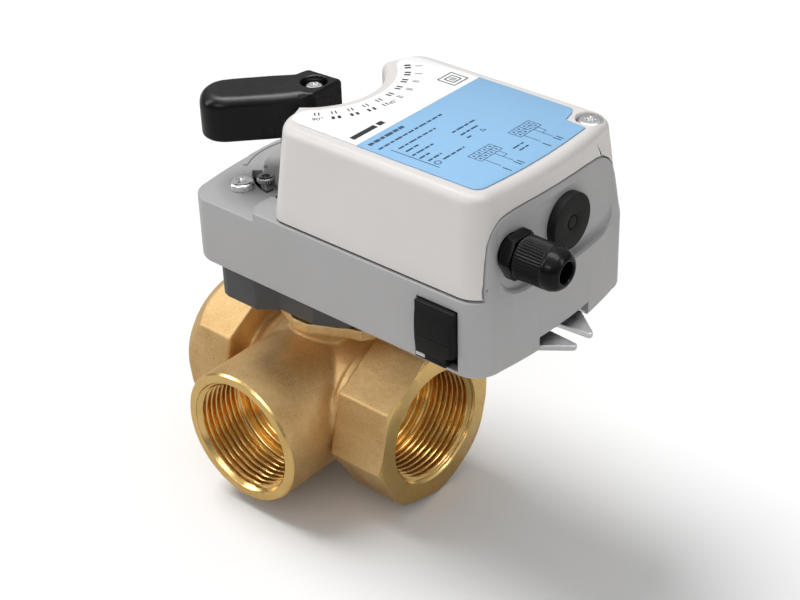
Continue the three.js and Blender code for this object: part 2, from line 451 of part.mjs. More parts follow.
// ---------------------------------------------------------------- cable entry
{
  const g = place(ALONG_X, 0, GLAND_Y, GLAND_Z), p = place(ALONG_X, 0, PLUG_Y, PLUG_Z);
  add("gland_body", cut(join(rod(6, 88.4, 95, 24, g), hexRod(17.6, RECESS_X + 0.1, 99.6, g, 0), rod(6.9, 99, 106, 24, g)), rod(3.8, 88, 107, 20, g)), mat.black);
  add("gland_nut", turned([[7.05, 99.9], [9.3, 99.9], [9.2, 101], [8.7, 109], [8.9, 110], [8.9, 113], [8.3, 115.6], [6.8, 117.6], [4.9, GLAND_TIP_X], [4, 118], [4, 113.2], [7.05, 111.6], [7.05, 99.9]], 32, g), mat.black);
  add("gland_seal", turned([[3.5, 106.2], [6.9, 106.2], [6.9, 111.2], [4.2, 112.4], [3.5, 112.4], [3.5, 106.2]], 24, g), mat.rubber);
  add("gland_locknut", cut(hexRod(17, 89.4, 92, g), rod(6.1, 88, 93, 24, g)), mat.black);
  add("blanking_plug", cut(turned([[0, 91], [5.9, 91], [5.9, RECESS_X + 0.1], [10.6, RECESS_X + 0.1], [10.6, 99.6], [10.1, 100.1], [0, 100.1]], 32, p), ring(1.6, 2.1, 99.7, 101, 20, p)), mat.rubber);
}

// ---------------------------------------------------------------- release button, stops, deck screws
{
  const face = (z0, z1, x1) => shapeOf([[74, z0], [x1, z0], [88.9, z1], [88.9, 82.4], [74, 82.4]]);
  const flatFace = new THREE.Matrix4().makeBasis(new THREE.Vector3(1, 0, 0), new THREE.Vector3(0, 0, 1), new THREE.Vector3(0, -1, 0));
  const front = prism(face(62.3, 66.6, 85.6), 33.2, 39.2, flatFace);
  const crown = turned([[0, 0], [60, 0], [60, 1], [0, 1]].slice(0, 0).concat([[0, 36], [14, 36], [14, 38.2], [10, 39.3], [5, 39.9], [0, 40.1]]), 32, place(flatFace, 81.4, 0, 72.4)).intersect(prism(face(62.3, 66.6, 85.6), 36, 41, flatFace));
  const back = box(75.5, 87.5, -33.4, -29.6, 64.5, 80);
  add("release_button", cut(join(front, crown, back), rod(4.2, 29, 31.6, 20, place(flatFace, 81.4, 0, 72.4))), mat.satin);
  class Coil extends THREE.Curve {
    getPoint(t, target = new THREE.Vector3()) {
      const a = t * Math.PI * 2 * 5;
      return target.set(81.4 + 3.2 * Math.cos(a), -31 + 10.7 * t, 72.4 + 3.2 * Math.sin(a));
    }
  }
  const wire = new THREE.ExtrudeGeometry(shapeOf(polyRing(5, 0.4)), { steps: 44, bevelEnabled: false, extrudePath: new Coil() });
  add("release_spring", solid(wire), mat.steel);

  for (const [sgn, side] of [[-1, "front"], [1, "rear"]]) {
    const block = prism(shapeOf([...arc(0, 0, 21.8, sgn * 99, sgn * 108, 3), ...arc(0, 0, 19.2, sgn * 108, sgn * 99, 3)]), 79.6, 86.6);
    const c = [20.5 * Math.cos(rad(103.5)), sgn * 20.5 * Math.sin(rad(103.5))];
    add("end_stop_" + side, cut(block, rod(0.95, 80.4, 87, 10, T(c[0], c[1], 0))), mat.steel);
    add("end_stop_screw_" + side, cut(join(rod(0.9, 80.6, 87, 10, T(c[0], c[1], 0)), turned([[0, 86.7], [3, 86.7], [3, 88.6], [2.6, 89.1], [0, 89.1]], 18, T(c[0], c[1], 0))), hexRod(2.6, 87.2, 90, T(c[0], c[1], 0))), mat.chrome);
    const d = T(-12.2, sgn * 23.9, 0);
    let ds = join(rod(1.6, 76, 84.2, 12, d), turned([[0, DECK_Z + 0.05], [4.2, DECK_Z + 0.05], [4.2, 84.6], [3.4, 85.6], [0, 86.2]], 24, d));
    ds = cut(ds, box(-14.6, -9.8, sgn * 23.9 - 0.5, sgn * 23.9 + 0.5, 84.9, 87), box(-12.7, -11.7, sgn * 23.9 - 2.4, sgn * 23.9 + 2.4, 84.9, 87));
    add("deck_screw_" + side, ds, mat.chrome);
  }
}

// origin: middle of the length and width, level with the lowest corner of the octagonal ends
const LOWEST = -(OCT_AF / 2 / Math.cos(Math.PI / 8)) * Math.cos(rad(OCT_TURN));
product.position.set(-(GLAND_TIP_X - PORT_X) / 2, (BRANCH_Y - (CASE_W + 0.1)) / 2, -LOWEST);

export default product;
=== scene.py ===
import json
import math

import bmesh
import bpy
from mathutils import Matrix, Quaternion, Vector, noise


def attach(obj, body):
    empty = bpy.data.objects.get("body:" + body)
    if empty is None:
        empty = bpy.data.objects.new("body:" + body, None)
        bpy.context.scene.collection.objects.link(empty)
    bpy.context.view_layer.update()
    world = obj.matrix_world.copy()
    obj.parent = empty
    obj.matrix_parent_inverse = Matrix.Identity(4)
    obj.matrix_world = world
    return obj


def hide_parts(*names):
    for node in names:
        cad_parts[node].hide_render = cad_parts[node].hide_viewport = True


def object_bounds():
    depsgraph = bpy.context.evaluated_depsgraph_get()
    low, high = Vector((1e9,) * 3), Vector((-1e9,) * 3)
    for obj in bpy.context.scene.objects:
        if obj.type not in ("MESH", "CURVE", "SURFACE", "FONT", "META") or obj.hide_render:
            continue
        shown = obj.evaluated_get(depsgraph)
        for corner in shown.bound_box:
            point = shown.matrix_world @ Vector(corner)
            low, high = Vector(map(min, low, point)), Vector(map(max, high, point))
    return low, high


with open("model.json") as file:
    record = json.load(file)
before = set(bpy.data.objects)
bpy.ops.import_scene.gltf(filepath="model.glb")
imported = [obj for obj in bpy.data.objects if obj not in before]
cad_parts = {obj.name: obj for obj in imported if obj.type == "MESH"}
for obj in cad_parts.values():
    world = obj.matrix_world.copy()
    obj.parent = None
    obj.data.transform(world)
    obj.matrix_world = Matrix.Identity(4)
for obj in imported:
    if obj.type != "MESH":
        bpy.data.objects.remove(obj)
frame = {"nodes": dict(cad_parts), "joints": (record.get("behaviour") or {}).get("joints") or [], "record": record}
CAD_LO, CAD_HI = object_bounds()
SCENE = bpy.context.scene

MM = 0.001
RIGHT_MOUNT_RISE = 0.0245  # the right port's mount lies this far above the ball's centre, metres
turn_joint = next(j for j in frame["joints"] if j["name"] == "output_turn")
right_mount = next(m for m in frame["record"]["mounts"] if m["name"] == "right_port")
ORIGIN = Vector((*turn_joint["pos_m"][:2], right_mount["pos_m"][2] - RIGHT_MOUNT_RISE))
TO_FRAME = Matrix.Translation(ORIGIN) @ Matrix.Scale(MM, 4)

# ------------------------------------------------------------------ driving dimensions, mm
PORT_X, BRANCH_Y = 48.2, 46.5  # faces of the side ports and of the branch
THREAD = 20.7  # depth of the port threads
OCT_AF, OCT_TURN, OCT_LENGTH = 54.6, 8, 22.4  # octagon: across flats, turn in degrees, length
PAD_Z = 37.6  # top of the mounting pad
ADAPTER_SCREW_R = 17
ADAPTER_SCREW_ANGLES = {"front": -76, "rear": 104}
PLATE_Z0, PLATE_Z1 = 59.4, 61.2
CASE_Z0, DECK_Z, SEAM_Z = 60.5, 83.7, 86.7
CASE_X0, CASE_X1 = -24.1, 98
CASE_W, CASE_CORNER = 37.8, 9  # half width and corner radius
BULGE_X0, BULGE_X1 = 2.3, 2.66  # bow of the -X and +X ends
COVER_Z0, SHOULDER_Z, COVER_TOP = 87.2, 115.4, 118.8
ARC_R = 22.7  # the cover's hollow round the hub
HUB_SQUARE_Z0 = 70
DECK_SCREW = (-12.2, 23.9)
COVER_SCREW = (88.3, 27.3)
STOP_ANGLE = 103.5
LEVER_TURN = -133
GLAND_YZ, PLUG_YZ = (-21.9, 98.5), (3.1, 97.9)
SIDES = {"front": -1, "rear": 1}  # sign of Y


# ------------------------------------------------------------------ outlines
def rad(degrees):
    return math.radians(degrees)


def clamp(t):
    return max(0.0, min(1.0, t))


def smooth(t):
    return t * t * (3 - 2 * t)


def quarter(n):
    """Angles from 0 to a right angle in n steps."""
    return [math.pi / 2 * k / n for k in range(n + 1)]


def polar(r, degrees):
    return r * math.cos(rad(degrees)), r * math.sin(rad(degrees))


def arc(cx, cy, r, a0, a1, n):
    points = (polar(r, a0 + (a1 - a0) * i / n) for i in range(n + 1))
    return [(cx + x, cy + y) for x, y in points]


def polygon(n, r, turn=0):
    angles = [rad(turn) + 2 * math.pi * k / n for k in range(n)]
    return [(r * math.cos(a), r * math.sin(a)) for a in angles]


def mirrored(points):
    """The points in reverse order with y negated; radii stay."""
    return [(x, -y, *radius) for x, y, *radius in points[::-1]]


def rounded(points, closed=True, n=6):
    """A polyline with its corners rounded: each point is (x, y) or (x, y, radius)."""
    out, count = [], len(points)
    for i, (x, y, *radius) in enumerate(points):
        r = radius[0] if radius else 0
        if r <= 0 or (not closed and i in (0, count - 1)):
            out.append((x, y))
            continue
        corner = Vector((x, y))
        u = Vector(points[i - 1][:2]) - corner
        v = Vector(points[(i + 1) % count][:2]) - corner
        u_length, v_length = u.length, v.length
        u.normalize()
        v.normalize()
        angle = math.acos(max(-1, min(1, u.dot(v))))
        if angle > math.pi - 1e-3:
            out.append((x, y))
            continue
        reach = min(r / math.tan(angle / 2), 0.49 * u_length, 0.49 * v_length)
        r = reach * math.tan(angle / 2)
        centre = corner + (u + v).normalized() * (r / math.sin(angle / 2))
        start, end = corner + u * reach - centre, corner + v * reach - centre
        a0, a1 = math.atan2(start.y, start.x), math.atan2(end.y, end.x)
        sweep = (a1 - a0 + math.pi) % (2 * math.pi) - math.pi
        for k in range(n + 1):
            a = a0 + sweep * k / n
            out.append((centre.x + r * math.cos(a), centre.y + r * math.sin(a)))
    return out


def area(poly):
    return sum(a[0] * b[1] - b[0] * a[1] for a, b in zip(poly, poly[1:] + poly[:1])) / 2


def inset(poly, dist):
    """A counter-clockwise outline moved inwards by dist, a number or a list with one per vertex."""
    n, out = len(poly), []
    dists = dist if isinstance(dist, list) else [dist] * n
    for i in range(n):
        a, b, c = Vector(poly[i - 1]), Vector(poly[i]), Vector(poly[(i + 1) % n])
        e1, e2 = (b - a).normalized(), (c - b).normalized()
        n1, n2 = Vector((-e1.y, e1.x)), Vector((-e2.y, e2.x))
        middle = n1 + n2
        if middle.length < 1e-6:
            middle = n1
        middle.normalize()
        p = b + middle * (dists[i] / max(0.35, middle.dot(n1)))
        out.append((p.x, p.y))
    return out


def lift(poly, z):
    return [(x, y, z) for x, y in poly]


# ------------------------------------------------------------------ placing
IDENT = Matrix.Identity(4)
# where the local x, y and z axes of a piece point, by the direction of its local z
BASES = {
    "X": ((0, 1, 0), (0, 0, 1), (1, 0, 0)),
    "NX": ((0, -1, 0), (0, 0, 1), (-1, 0, 0)),
    "NY": ((1, 0, 0), (0, 0, 1), (0, -1, 0)),
}


def axes(position, x_axis, y_axis, z_axis):
    turn = Matrix((x_axis, y_axis, z_axis)).transposed().to_4x4()
    return Matrix.Translation(position) @ turn


def place(kind, y=0, z=0):
    return axes((0, y, z), *BASES[kind])


def shift(x, y):
    return Matrix.Translation((x, y, 0))


def turned(degrees):
    return Matrix.Rotation(rad(degrees), 4, "Z")


GLAND_PLACE, PLUG_PLACE = place("X", *GLAND_YZ), place("X", *PLUG_YZ)


# ------------------------------------------------------------------ solids
PLAIN = (0, ())  # a surface is (material index, materials)


def new_piece(name, verts, faces, surface=PLAIN):
    index, mats = surface
    me = bpy.data.meshes.new(name)
    me.from_pydata([tuple(v) for v in verts], [], faces)
    me.update()
    bm = bmesh.new()
    bm.from_mesh(me)
    bmesh.ops.recalc_face_normals(bm, faces=bm.faces)
    if bm.calc_volume(signed=True) < 0:
        bmesh.ops.reverse_faces(bm, faces=bm.faces)
    for f in bm.faces:
        f.material_index = index
    bm.to_mesh(me)
    bm.free()
    for m in mats:
        me.materials.append(m)
    return link(name, me)


def link(name, data):
    ob = bpy.data.objects.new(name, data)
    SCENE.collection.objects.link(ob)
    return ob


def skin(name, rings, m=IDENT, surface=PLAIN):
    """A closed skin through rings of 3-D points, capped at both ends."""
    n, faces = len(rings[0]), []
    verts = [m @ Vector(p) for ring in rings for p in ring]
    for k in range(len(rings) - 1):
        for i in range(n):
            j = (i + 1) % n
            faces.append((k * n + i, k * n + j, (k + 1) * n + j, (k + 1) * n + i))
    faces.append(tuple(reversed(range(n))))
    faces.append(tuple(range((len(rings) - 1) * n, len(rings) * n)))
    return new_piece(name, verts, faces, surface)


def prism(name, poly, h0, h1, m=IDENT, rt=0, rb=0, n=4, surface=PLAIN):
    """An outline pulled from h0 to h1. Its top edge is rounded by rt, a number or a list with one
    per vertex of a counter-clockwise outline, and its bottom edge by rb."""
    poly = [tuple(p) for p in poly]
    if area(poly) < 0:
        poly = poly[::-1]
    tops = rt if isinstance(rt, list) else [rt] * len(poly)
    rings = []
    if rb > 0:
        for t in quarter(n):
            rings.append(lift(inset(poly, rb * (1 - math.sin(t))), h0 + rb * (1 - math.cos(t))))
    else:
        rings.append(lift(poly, h0))
    if max(tops) > 0:
        for t in quarter(n):
            edge = inset(poly, [r * (1 - math.cos(t)) for r in tops])
            drop_by = 1 - math.sin(t)
            rings.append([(x, y, h1 - r * drop_by) for (x, y), r in zip(edge, tops)])
    else:
        rings.append(lift(poly, h1))
    return skin(name, rings, m, surface)


def lathe(name, profile, seg=96, m=IDENT, surface=PLAIN, ridge=None):
    """A profile of (radius, height) turned about the axis.
    ridge(angle, height, radius) may change the radius."""
    (r0, h0), (r1, h1) = profile[0], profile[-1]
    closed = abs(r0 - r1) < 1e-9 and abs(h0 - h1) < 1e-9
    points = profile[:-1] if closed else profile
    rings, verts, faces = [], [], []
    for r, h in points:
        if r < 1e-7:
            rings.append([len(verts)])
            verts.append(m @ Vector((0, 0, h)))
            continue
        rings.append(list(range(len(verts), len(verts) + seg)))
        for k in range(seg):
            a = 2 * math.pi * k / seg
            q = ridge(a, h, r) if ridge else r
            verts.append(m @ Vector((q * math.cos(a), q * math.sin(a), h)))
    n = len(points)
    for i in range(n if closed else n - 1):
        low, high = rings[i], rings[(i + 1) % n]
        for k in range(seg):
            j = (k + 1) % seg
            if len(low) == 1:
                faces.append((low[0], high[j], high[k]))
            elif len(high) == 1:
                faces.append((low[k], low[j], high[0]))
            else:
                faces.append((low[k], low[j], high[j], high[k]))
    return new_piece(name, verts, faces, surface)


def rod(r, h0, h1, seg, m=IDENT, surface=PLAIN):
    return lathe("rod", [(0, h0), (r, h0), (r, h1), (0, h1)], seg, m, surface)


def block(x0, x1, y0, y1, z0, z1, m=IDENT, surface=PLAIN):
    corners = [(x0, y0), (x1, y0), (x1, y1), (x0, y1)]
    return prism("block", corners, z0, z1, m, surface=surface)


# ------------------------------------------------------------------ working on solids
def bake(ob):
    """Puts the result of the modifiers in the mesh."""
    dg = bpy.context.evaluated_depsgraph_get()
    me = bpy.data.meshes.new_from_object(ob.evaluated_get(dg))
    old = ob.data
    ob.modifiers.clear()
    ob.data = me
    bpy.data.meshes.remove(old)


def drop(ob):
    me = ob.data
    bpy.data.objects.remove(ob)
    bpy.data.meshes.remove(me)


def boolean(a, b, op):
    mod = a.modifiers.new("b", "BOOLEAN")
    mod.operation, mod.object, mod.solver = op, b, "MANIFOLD"
    bpy.context.view_layer.update()
    bake(a)
    drop(b)


def cut(a, *others):
    for b in others:
        boolean(a, b, "DIFFERENCE")


def join(a, *others):
    for b in others:
        boolean(a, b, "UNION")


def common(a, b):
    boolean(a, b, "INTERSECT")


def merge(a, *others):
    """Puts the meshes in one object as they are, without a boolean."""
    bm = bmesh.new()
    bm.from_mesh(a.data)
    for b in others:
        bm.from_mesh(b.data)
    bm.to_mesh(a.data)
    bm.free()
    for b in others:
        drop(b)
    return a


def direction(edge):
    return (edge.verts[0].co - edge.verts[1].co).normalized()


def round_edges(ob, width, where=None, segs=3, angle=28, clean=0.4):
    """Bevels the edges sharper than angle for which where(midpoint, edge) holds.
    Faces within clean degrees of flat are dissolved first."""
    bm = bmesh.new()
    bm.from_mesh(ob.data)
    if clean:
        bmesh.ops.dissolve_limit(
            bm, angle_limit=rad(clean), verts=bm.verts, edges=bm.edges, delimit={"MATERIAL"})
    picked = []
    for e in bm.edges:
        if len(e.link_faces) != 2 or e.calc_face_angle(0) < rad(angle):
            continue
        middle = (e.verts[0].co + e.verts[1].co) / 2
        if where is None or where(middle, e):
            picked.append(e)
    if picked:
        bmesh.ops.bevel(
            bm, geom=picked, offset=width, offset_type="OFFSET", segments=segs, profile=0.5,
            affect="EDGES", clamp_overlap=False, material=-1, loop_slide=True)
    bm.to_mesh(ob.data)
    bm.free()


def cast(ob, voxel, passes, wobble):
    """Remeshes overlapping shells as one soft, slightly uneven skin of cast brass."""
    freq = 0.12
    remesh = ob.modifiers.new("r", "REMESH")
    remesh.mode, remesh.voxel_size, remesh.adaptivity = "VOXEL", voxel, 0
    soften = ob.modifiers.new("s", "SMOOTH")
    soften.factor, soften.iterations = 0.5, passes
    bake(ob)
    coords = []
    for co, normal in [(v.co.copy(), v.normal.copy()) for v in ob.data.vertices]:
        co += normal * (wobble * (noise.noise(co * freq) + 0.5 * noise.noise(co * freq * 2.7)))
        coords.extend(co)
    ob.data.vertices.foreach_set("co", coords)
    ob.data.update()
    for m in BRASSES:
        ob.data.materials.append(m)


def finish(ob, body, node, slot, *mats, sharp=30):
    """Moves a piece to the frame, shades it, rides it on its body and replaces its CAD node."""
    ob.data.transform(TO_FRAME)
    index = [p.material_index for p in ob.data.polygons]
    ob.data.materials.clear()
    for m in mats:
        ob.data.materials.append(m)
    ob.data.polygons.foreach_set("material_index", index)
    ob.data.shade_smooth()
    ob.data.set_sharp_from_angle(angle=rad(sharp))
    ob.data.update()
    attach(ob, body)
    if node:
        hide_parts(node)


# ------------------------------------------------------------------ shader tools
def srgb(*rgb):
    """0-255 screen values as a linear colour."""
    return (*((c / 255) / 12.92 if c <= 10 else ((c / 255 + 0.055) / 1.055) ** 2.4
              for c in rgb), 1)


def tone(color, gain):
    return (*(min(c * gain, 1) for c in color[:3]), 1)


class Nodes:
    """An emptied node tree and a maker for its nodes."""

    def __init__(self, owner):
        owner.use_nodes = True
        self.tree = owner.node_tree
        self.tree.nodes.clear()

    def node(self, kind, inputs=None, **settings):
        """A node whose inputs, by name or index, take a value or a link from a socket."""
        node = self.tree.nodes.new("ShaderNode" + kind)
        for key, value in settings.items():
            setattr(node, key, value)
        for key, value in (inputs or {}).items():
            self.feed(node.inputs[key], value)
        return node

    def feed(self, socket, value):
        if isinstance(value, bpy.types.NodeSocket):
            self.tree.links.new(value, socket)
        else:
            socket.default_value = value


class Shader(Nodes):
    """A material with one Principled surface. Lengths in it are metres."""

    def __init__(self, name):
        self.material = bpy.data.materials.new(name)
        super().__init__(self.material)
        output = self.node("OutputMaterial")
        self.surface = self.node("BsdfPrincipled")
        self.feed(output.inputs[0], self.surface.outputs[0])
        self.coords = self.node("TexCoord").outputs["Object"]

    def set(self, key, value):
        self.feed(self.surface.inputs[key], value)

    def noise(self, scale, detail=2.0, rough=0.5, distortion=0.0):
        inputs = {"Vector": self.coords, "Scale": scale, "Detail": detail, "Roughness": rough,
                  "Distortion": distortion}
        return self.node("TexNoise", inputs).outputs["Fac"]

    def ramp(self, value, lo, hi, out_lo=0.0, out_hi=1.0):
        inputs = {"Value": value, "From Min": lo, "From Max": hi, "To Min": out_lo,
                  "To Max": out_hi}
        return self.node("MapRange", inputs).outputs["Result"]

    def mix(self, share, a, b):
        return self.node("Mix", {0: share, 6: a, 7: b}, data_type="RGBA").outputs[2]

    def math(self, operation, a, b=0.0):
        return self.node("Math", {0: a, 1: b, 2: 0.0}, operation=operation).outputs[0]

    def vector(self, operation, a, b):
        return self.node("VectorMath", {0: a, 1: b}, operation=operation).outputs

    def bevel(self, radius):
        return self.node("Bevel", {"Radius": radius}, samples=4).outputs[0]

    def bump(self, height, distance, **normal):
        inputs = {"Strength": 1.0, "Distance": distance, "Height": height, **normal}
        return self.node("Bump", inputs).outputs[0]

    def edge(self, radius, gain=3.0):
        """1 on a convex or concave edge, 0 on a flat."""
        bevel = self.bevel(radius)
        normal = self.node("NewGeometry").outputs["Normal"]
        facing = self.vector("DOT_PRODUCT", bevel, normal)["Value"]
        return self.ramp(facing, 1.0, 1.0 - 1.0 / gain)


# ------------------------------------------------------------------ kinds of material
def plastic(name, color, rough=0.4, grain=0.02, grain_scale=2600, vary=0.05, painted_edge_highlight=0.12,
            coat=0.0, spec=0.5):
    """Moulded plastic: fine grain grain mm deep, colour mottled by vary, edges lightened by a painted highlight of
    strength painted_edge_highlight.
    """
    edge_radius, rough_spread = 0.00035, 0.1
    k = Shader(name)
    flow = k.noise(scale=38, detail=3)
    fine = k.noise(scale=grain_scale, detail=2, rough=0.6)
    smudge = k.noise(scale=120, detail=4, rough=0.6, distortion=0.6)
    base = k.mix(k.ramp(flow, 0.3, 0.7), tone(color, 1 - vary), tone(color, 1 + vary))
    base = k.mix(k.ramp(fine, 0.35, 0.65, out_hi=0.10), base, tone(color, 0.75))
    edge = k.edge(edge_radius * 1.6)
    # painted highlight: the colour is lightened along edges, standing in for the light they catch
    base = k.mix(k.math("MULTIPLY", edge, painted_edge_highlight), base, tone(color, 1.6))
    k.set("Base Color", base)
    dull = k.ramp(smudge, 0.3, 0.7, rough - rough_spread / 2, rough + rough_spread / 2)
    k.set("Roughness", k.math("SUBTRACT", dull, k.math("MULTIPLY", edge, 0.08)))
    k.set("Specular IOR Level", spec)
    k.set("Coat Weight", coat)
    k.set("Coat Roughness", 0.12)
    k.set("Normal", k.bump(fine, grain * MM, Normal=k.bevel(edge_radius)))
    return k.material


def metal(name, color, rough=0.25, grain=0.01, vary=0.08, tint=None, across=None):
    """Bare or plated metal: mottling, fine grain, patches of tint, and turning rings about an
    axis through the ball; across is 1 for each coordinate square to that axis."""
    edge_radius, rough_spread = 0.0002, 0.15
    k = Shader(name)
    tarnish = k.noise(scale=55, detail=4, rough=0.6, distortion=0.4)
    fine = k.noise(scale=3000, detail=2, rough=0.55)
    base = k.mix(k.ramp(tarnish, 0.35, 0.68), tone(color, 1 - vary), tone(color, 1 + vary))
    if tint:
        patches = k.noise(scale=90, detail=5, rough=0.65)
        base = k.mix(k.ramp(patches, 0.5, 0.75, out_hi=0.6), base, tint)
    edge = k.edge(edge_radius * 1.5)
    # painted highlight: the colour is lightened along edges, standing in for the glints they catch
    base = k.mix(k.math("MULTIPLY", edge, 0.2), base, tone(color, 1.35))
    k.set("Base Color", base)
    k.set("Metallic", 1.0)
    smudge = k.noise(scale=260, detail=3, rough=0.6)
    spread = rough_spread / 2
    k.set("Roughness", k.ramp(smudge, 0.3, 0.7, rough - spread, rough + spread))
    height = fine
    if across:
        rings_per_metre = 14000.0  # in radians of the sine
        local = k.vector("SUBTRACT", k.coords, tuple(ORIGIN))[0]
        radial = k.vector("MULTIPLY", local, across)[0]
        radius = k.node("VectorMath", {0: radial}, operation="LENGTH").outputs["Value"]
        rings = k.math("SINE", k.math("MULTIPLY", radius, rings_per_metre))
        height = k.math("ADD", k.math("MULTIPLY", rings, 0.35), fine)
    k.set("Normal", k.bump(height, grain * MM, Normal=k.bevel(edge_radius)))
    return k.material


def cast_brass():
    """Sand-cast brass: mottled, speckled and pitted in patches, with a painted highlight on its edges."""
    k = Shader("cast_brass")
    broad = k.noise(scale=42, detail=4, rough=0.55, distortion=0.5)
    mid = k.noise(scale=420, detail=3, rough=0.6)
    fine = k.noise(scale=2300, detail=3, rough=0.65)
    base = k.mix(k.ramp(broad, 0.32, 0.7), srgb(196, 154, 96), srgb(234, 199, 142))
    base = k.mix(k.ramp(mid, 0.35, 0.7, out_hi=0.35), base, srgb(204, 158, 96))
    base = k.mix(k.ramp(fine, 0.35, 0.68, out_hi=0.6), base, srgb(240, 212, 160))
    specks = k.noise(scale=3100, detail=2, rough=0.5)
    base = k.mix(k.ramp(specks, 0.6, 0.72, out_hi=0.5), base, srgb(128, 86, 44))
    cells = k.node("TexVoronoi", {"Vector": k.coords, "Scale": 520}).outputs["Distance"]
    pit = k.ramp(cells, 0.06, 0.14, out_lo=1, out_hi=0)
    patches = k.ramp(k.noise(scale=150, detail=2), 0.56, 0.6)
    pit = k.math("MULTIPLY", pit, patches)
    base = k.mix(k.math("MULTIPLY", pit, 0.75), base, srgb(96, 62, 30))
    # painted highlight: the colour is lightened along edges, standing in for the glints they catch
    edge = k.edge(0.0009, gain=2.5)
    base = k.mix(k.math("MULTIPLY", edge, 0.25), base, srgb(240, 205, 140))
    k.set("Base Color", base)
    k.set("Metallic", 0.82)
    k.set("Roughness", k.ramp(fine, 0.3, 0.7, out_lo=0.42, out_hi=0.62))
    relief = k.math("ADD", k.math("MULTIPLY", mid, 0.8), k.math("MULTIPLY", pit, -1.2))
    height = k.math("ADD", k.math("MULTIPLY", fine, 0.5), relief)
    k.set("Normal", k.bump(height, 0.00012, Normal=k.bevel(0.0003)))
    return k.material


# ------------------------------------------------------------------ materials
BRASS = (0.97, 0.66, 0.26, 1)
MACHINED = dict(rough=0.2, grain=0.012, vary=0.06, tint=(0.80, 0.46, 0.13, 1))
PRINT = dict(grain=0.004, grain_scale=900, painted_edge_highlight=0.0)
FILM = dict(rough=0.34, coat=0.25, **PRINT)
CAST = cast_brass()
MACH_X = metal("machined_brass_x", BRASS, across=(0, 1, 1), **MACHINED)
MACH_Y = metal("machined_brass_y", BRASS, across=(1, 0, 1), **MACHINED)
TURNED = metal("turned_brass", BRASS, grain=0.012, across=(1, 1, 0))
BALL = metal("plated_ball", (0.72, 0.66, 0.55, 1), rough=0.16, vary=0.05)
CASE = plastic("case_plastic", srgb(171, 170, 170), grain=0.018, vary=0.02, painted_edge_highlight=0.35)
COVER = plastic(
    "cover_plastic", srgb(217, 213, 210), rough=0.36, grain=0.014, vary=0.015, painted_edge_highlight=0.5)
ADAPTER = plastic("adapter_plastic", srgb(72, 73, 75), rough=0.42, vary=0.06, spec=0.35)
BLACK = plastic(
    "gloss_black", srgb(11, 11, 12), rough=0.24, grain=0.008, vary=0.1, painted_edge_highlight=0.05, spec=0.24)
SATIN = plastic("satin_black", srgb(13, 13, 14), vary=0.1, painted_edge_highlight=0.08, spec=0.2)
NYLON = plastic(
    "gland_nylon", srgb(8, 8, 9), rough=0.2, grain=0.008, vary=0.1, painted_edge_highlight=0.05, spec=0.22)
RUBBER = plastic(
    "black_rubber", srgb(22, 21, 21), rough=0.5, grain=0.03, grain_scale=1600, vary=0.08,
    painted_edge_highlight=0.1, spec=0.18)
PTFE = plastic("ptfe", srgb(240, 239, 232), rough=0.45, grain=0.01, vary=0.03)
GEAR = plastic("gear_plastic", srgb(228, 222, 204), rough=0.42, grain=0.012, vary=0.04)
DARK = plastic("dark_plastic", srgb(44, 45, 48), rough=0.42, vary=0.08)
TERMINAL = plastic("terminal_green", srgb(58, 148, 84), grain=0.012)
BOARD = plastic(
    "board_green", srgb(30, 100, 56), rough=0.35, grain=0.03, grain_scale=900, vary=0.12,
    coat=0.4)
ZINC = metal(
    "zinc_steel", (0.82, 0.83, 0.84, 1), rough=0.38, grain=0.012, vary=0.14,
    tint=(0.58, 0.60, 0.62, 1))
STEEL = metal("plain_steel", (0.58, 0.58, 0.59, 1), rough=0.3, vary=0.1)
BLACK_CHROME = metal("black_chrome", (0.34, 0.34, 0.35, 1), rough=0.18, grain=0.006)
CHROME = metal("chrome_steel", (0.84, 0.84, 0.85, 1), rough=0.26, grain=0.006, vary=0.05)
BRONZE = metal("bronze", (0.62, 0.38, 0.19, 1), rough=0.34, grain=0.02, vary=0.14)
LABEL_WHITE = plastic("label_film", srgb(247, 248, 249), vary=0.01, **FILM)
LABEL_BLUE = plastic("label_blue", srgb(140, 187, 226), vary=0.015, **FILM)
INK = plastic("label_ink", srgb(34, 36, 40), **PRINT)
INK_BLUE = plastic("label_ink_blue", srgb(52, 76, 102), **PRINT)
MARK = plastic("marker_grey", srgb(196, 197, 199), rough=0.35, grain=0.01, vary=0.03)

BRASSES = (CAST, MACH_X, MACH_Y)
CAST_FACE, X_FACE, Y_FACE = (0, BRASSES), (1, BRASSES), (2, BRASSES)

# CAD pieces that keep their own mesh
CARRIED = (
    (RUBBER, "connector_seal cover_gasket_front cover_gasket_rear gland_seal"),
    (PTFE, "seat_left seat_right seat_branch thrust_washer stem_packing"),
    (TURNED, "valve_stem packing_nut"),
    (BRONZE, "lower_bush upper_bush motor_pinion"),
    (STEEL, "drive_coupling motor_shaft gear_axle_1 gear_axle_2 motor release_spring"),
    (GEAR, "output_gear intermediate_gear reduction_gear"),
    (BOARD, "circuit_board"),
    (TERMINAL, "terminal_block"),
    (DARK, "capacitor limit_switch"),
    (NYLON, "gland_locknut"),
    (ZINC, "adapter_screw_front adapter_screw_rear"),
    (BALL, "ball"),
)


def dress_carried():
    for material, names in CARRIED:
        for name in names.split():
            ob = frame["nodes"][name]
            ob.data.materials.clear()
            ob.data.materials.append(material)
            for slot in ob.material_slots:
                slot.material = material


# ------------------------------------------------------------------ valve
def octagon(name, h0, h1, m):
    return prism(name, polygon(8, OCT_AF / 2 / math.cos(math.pi / 8), OCT_TURN), h0, h1, m)


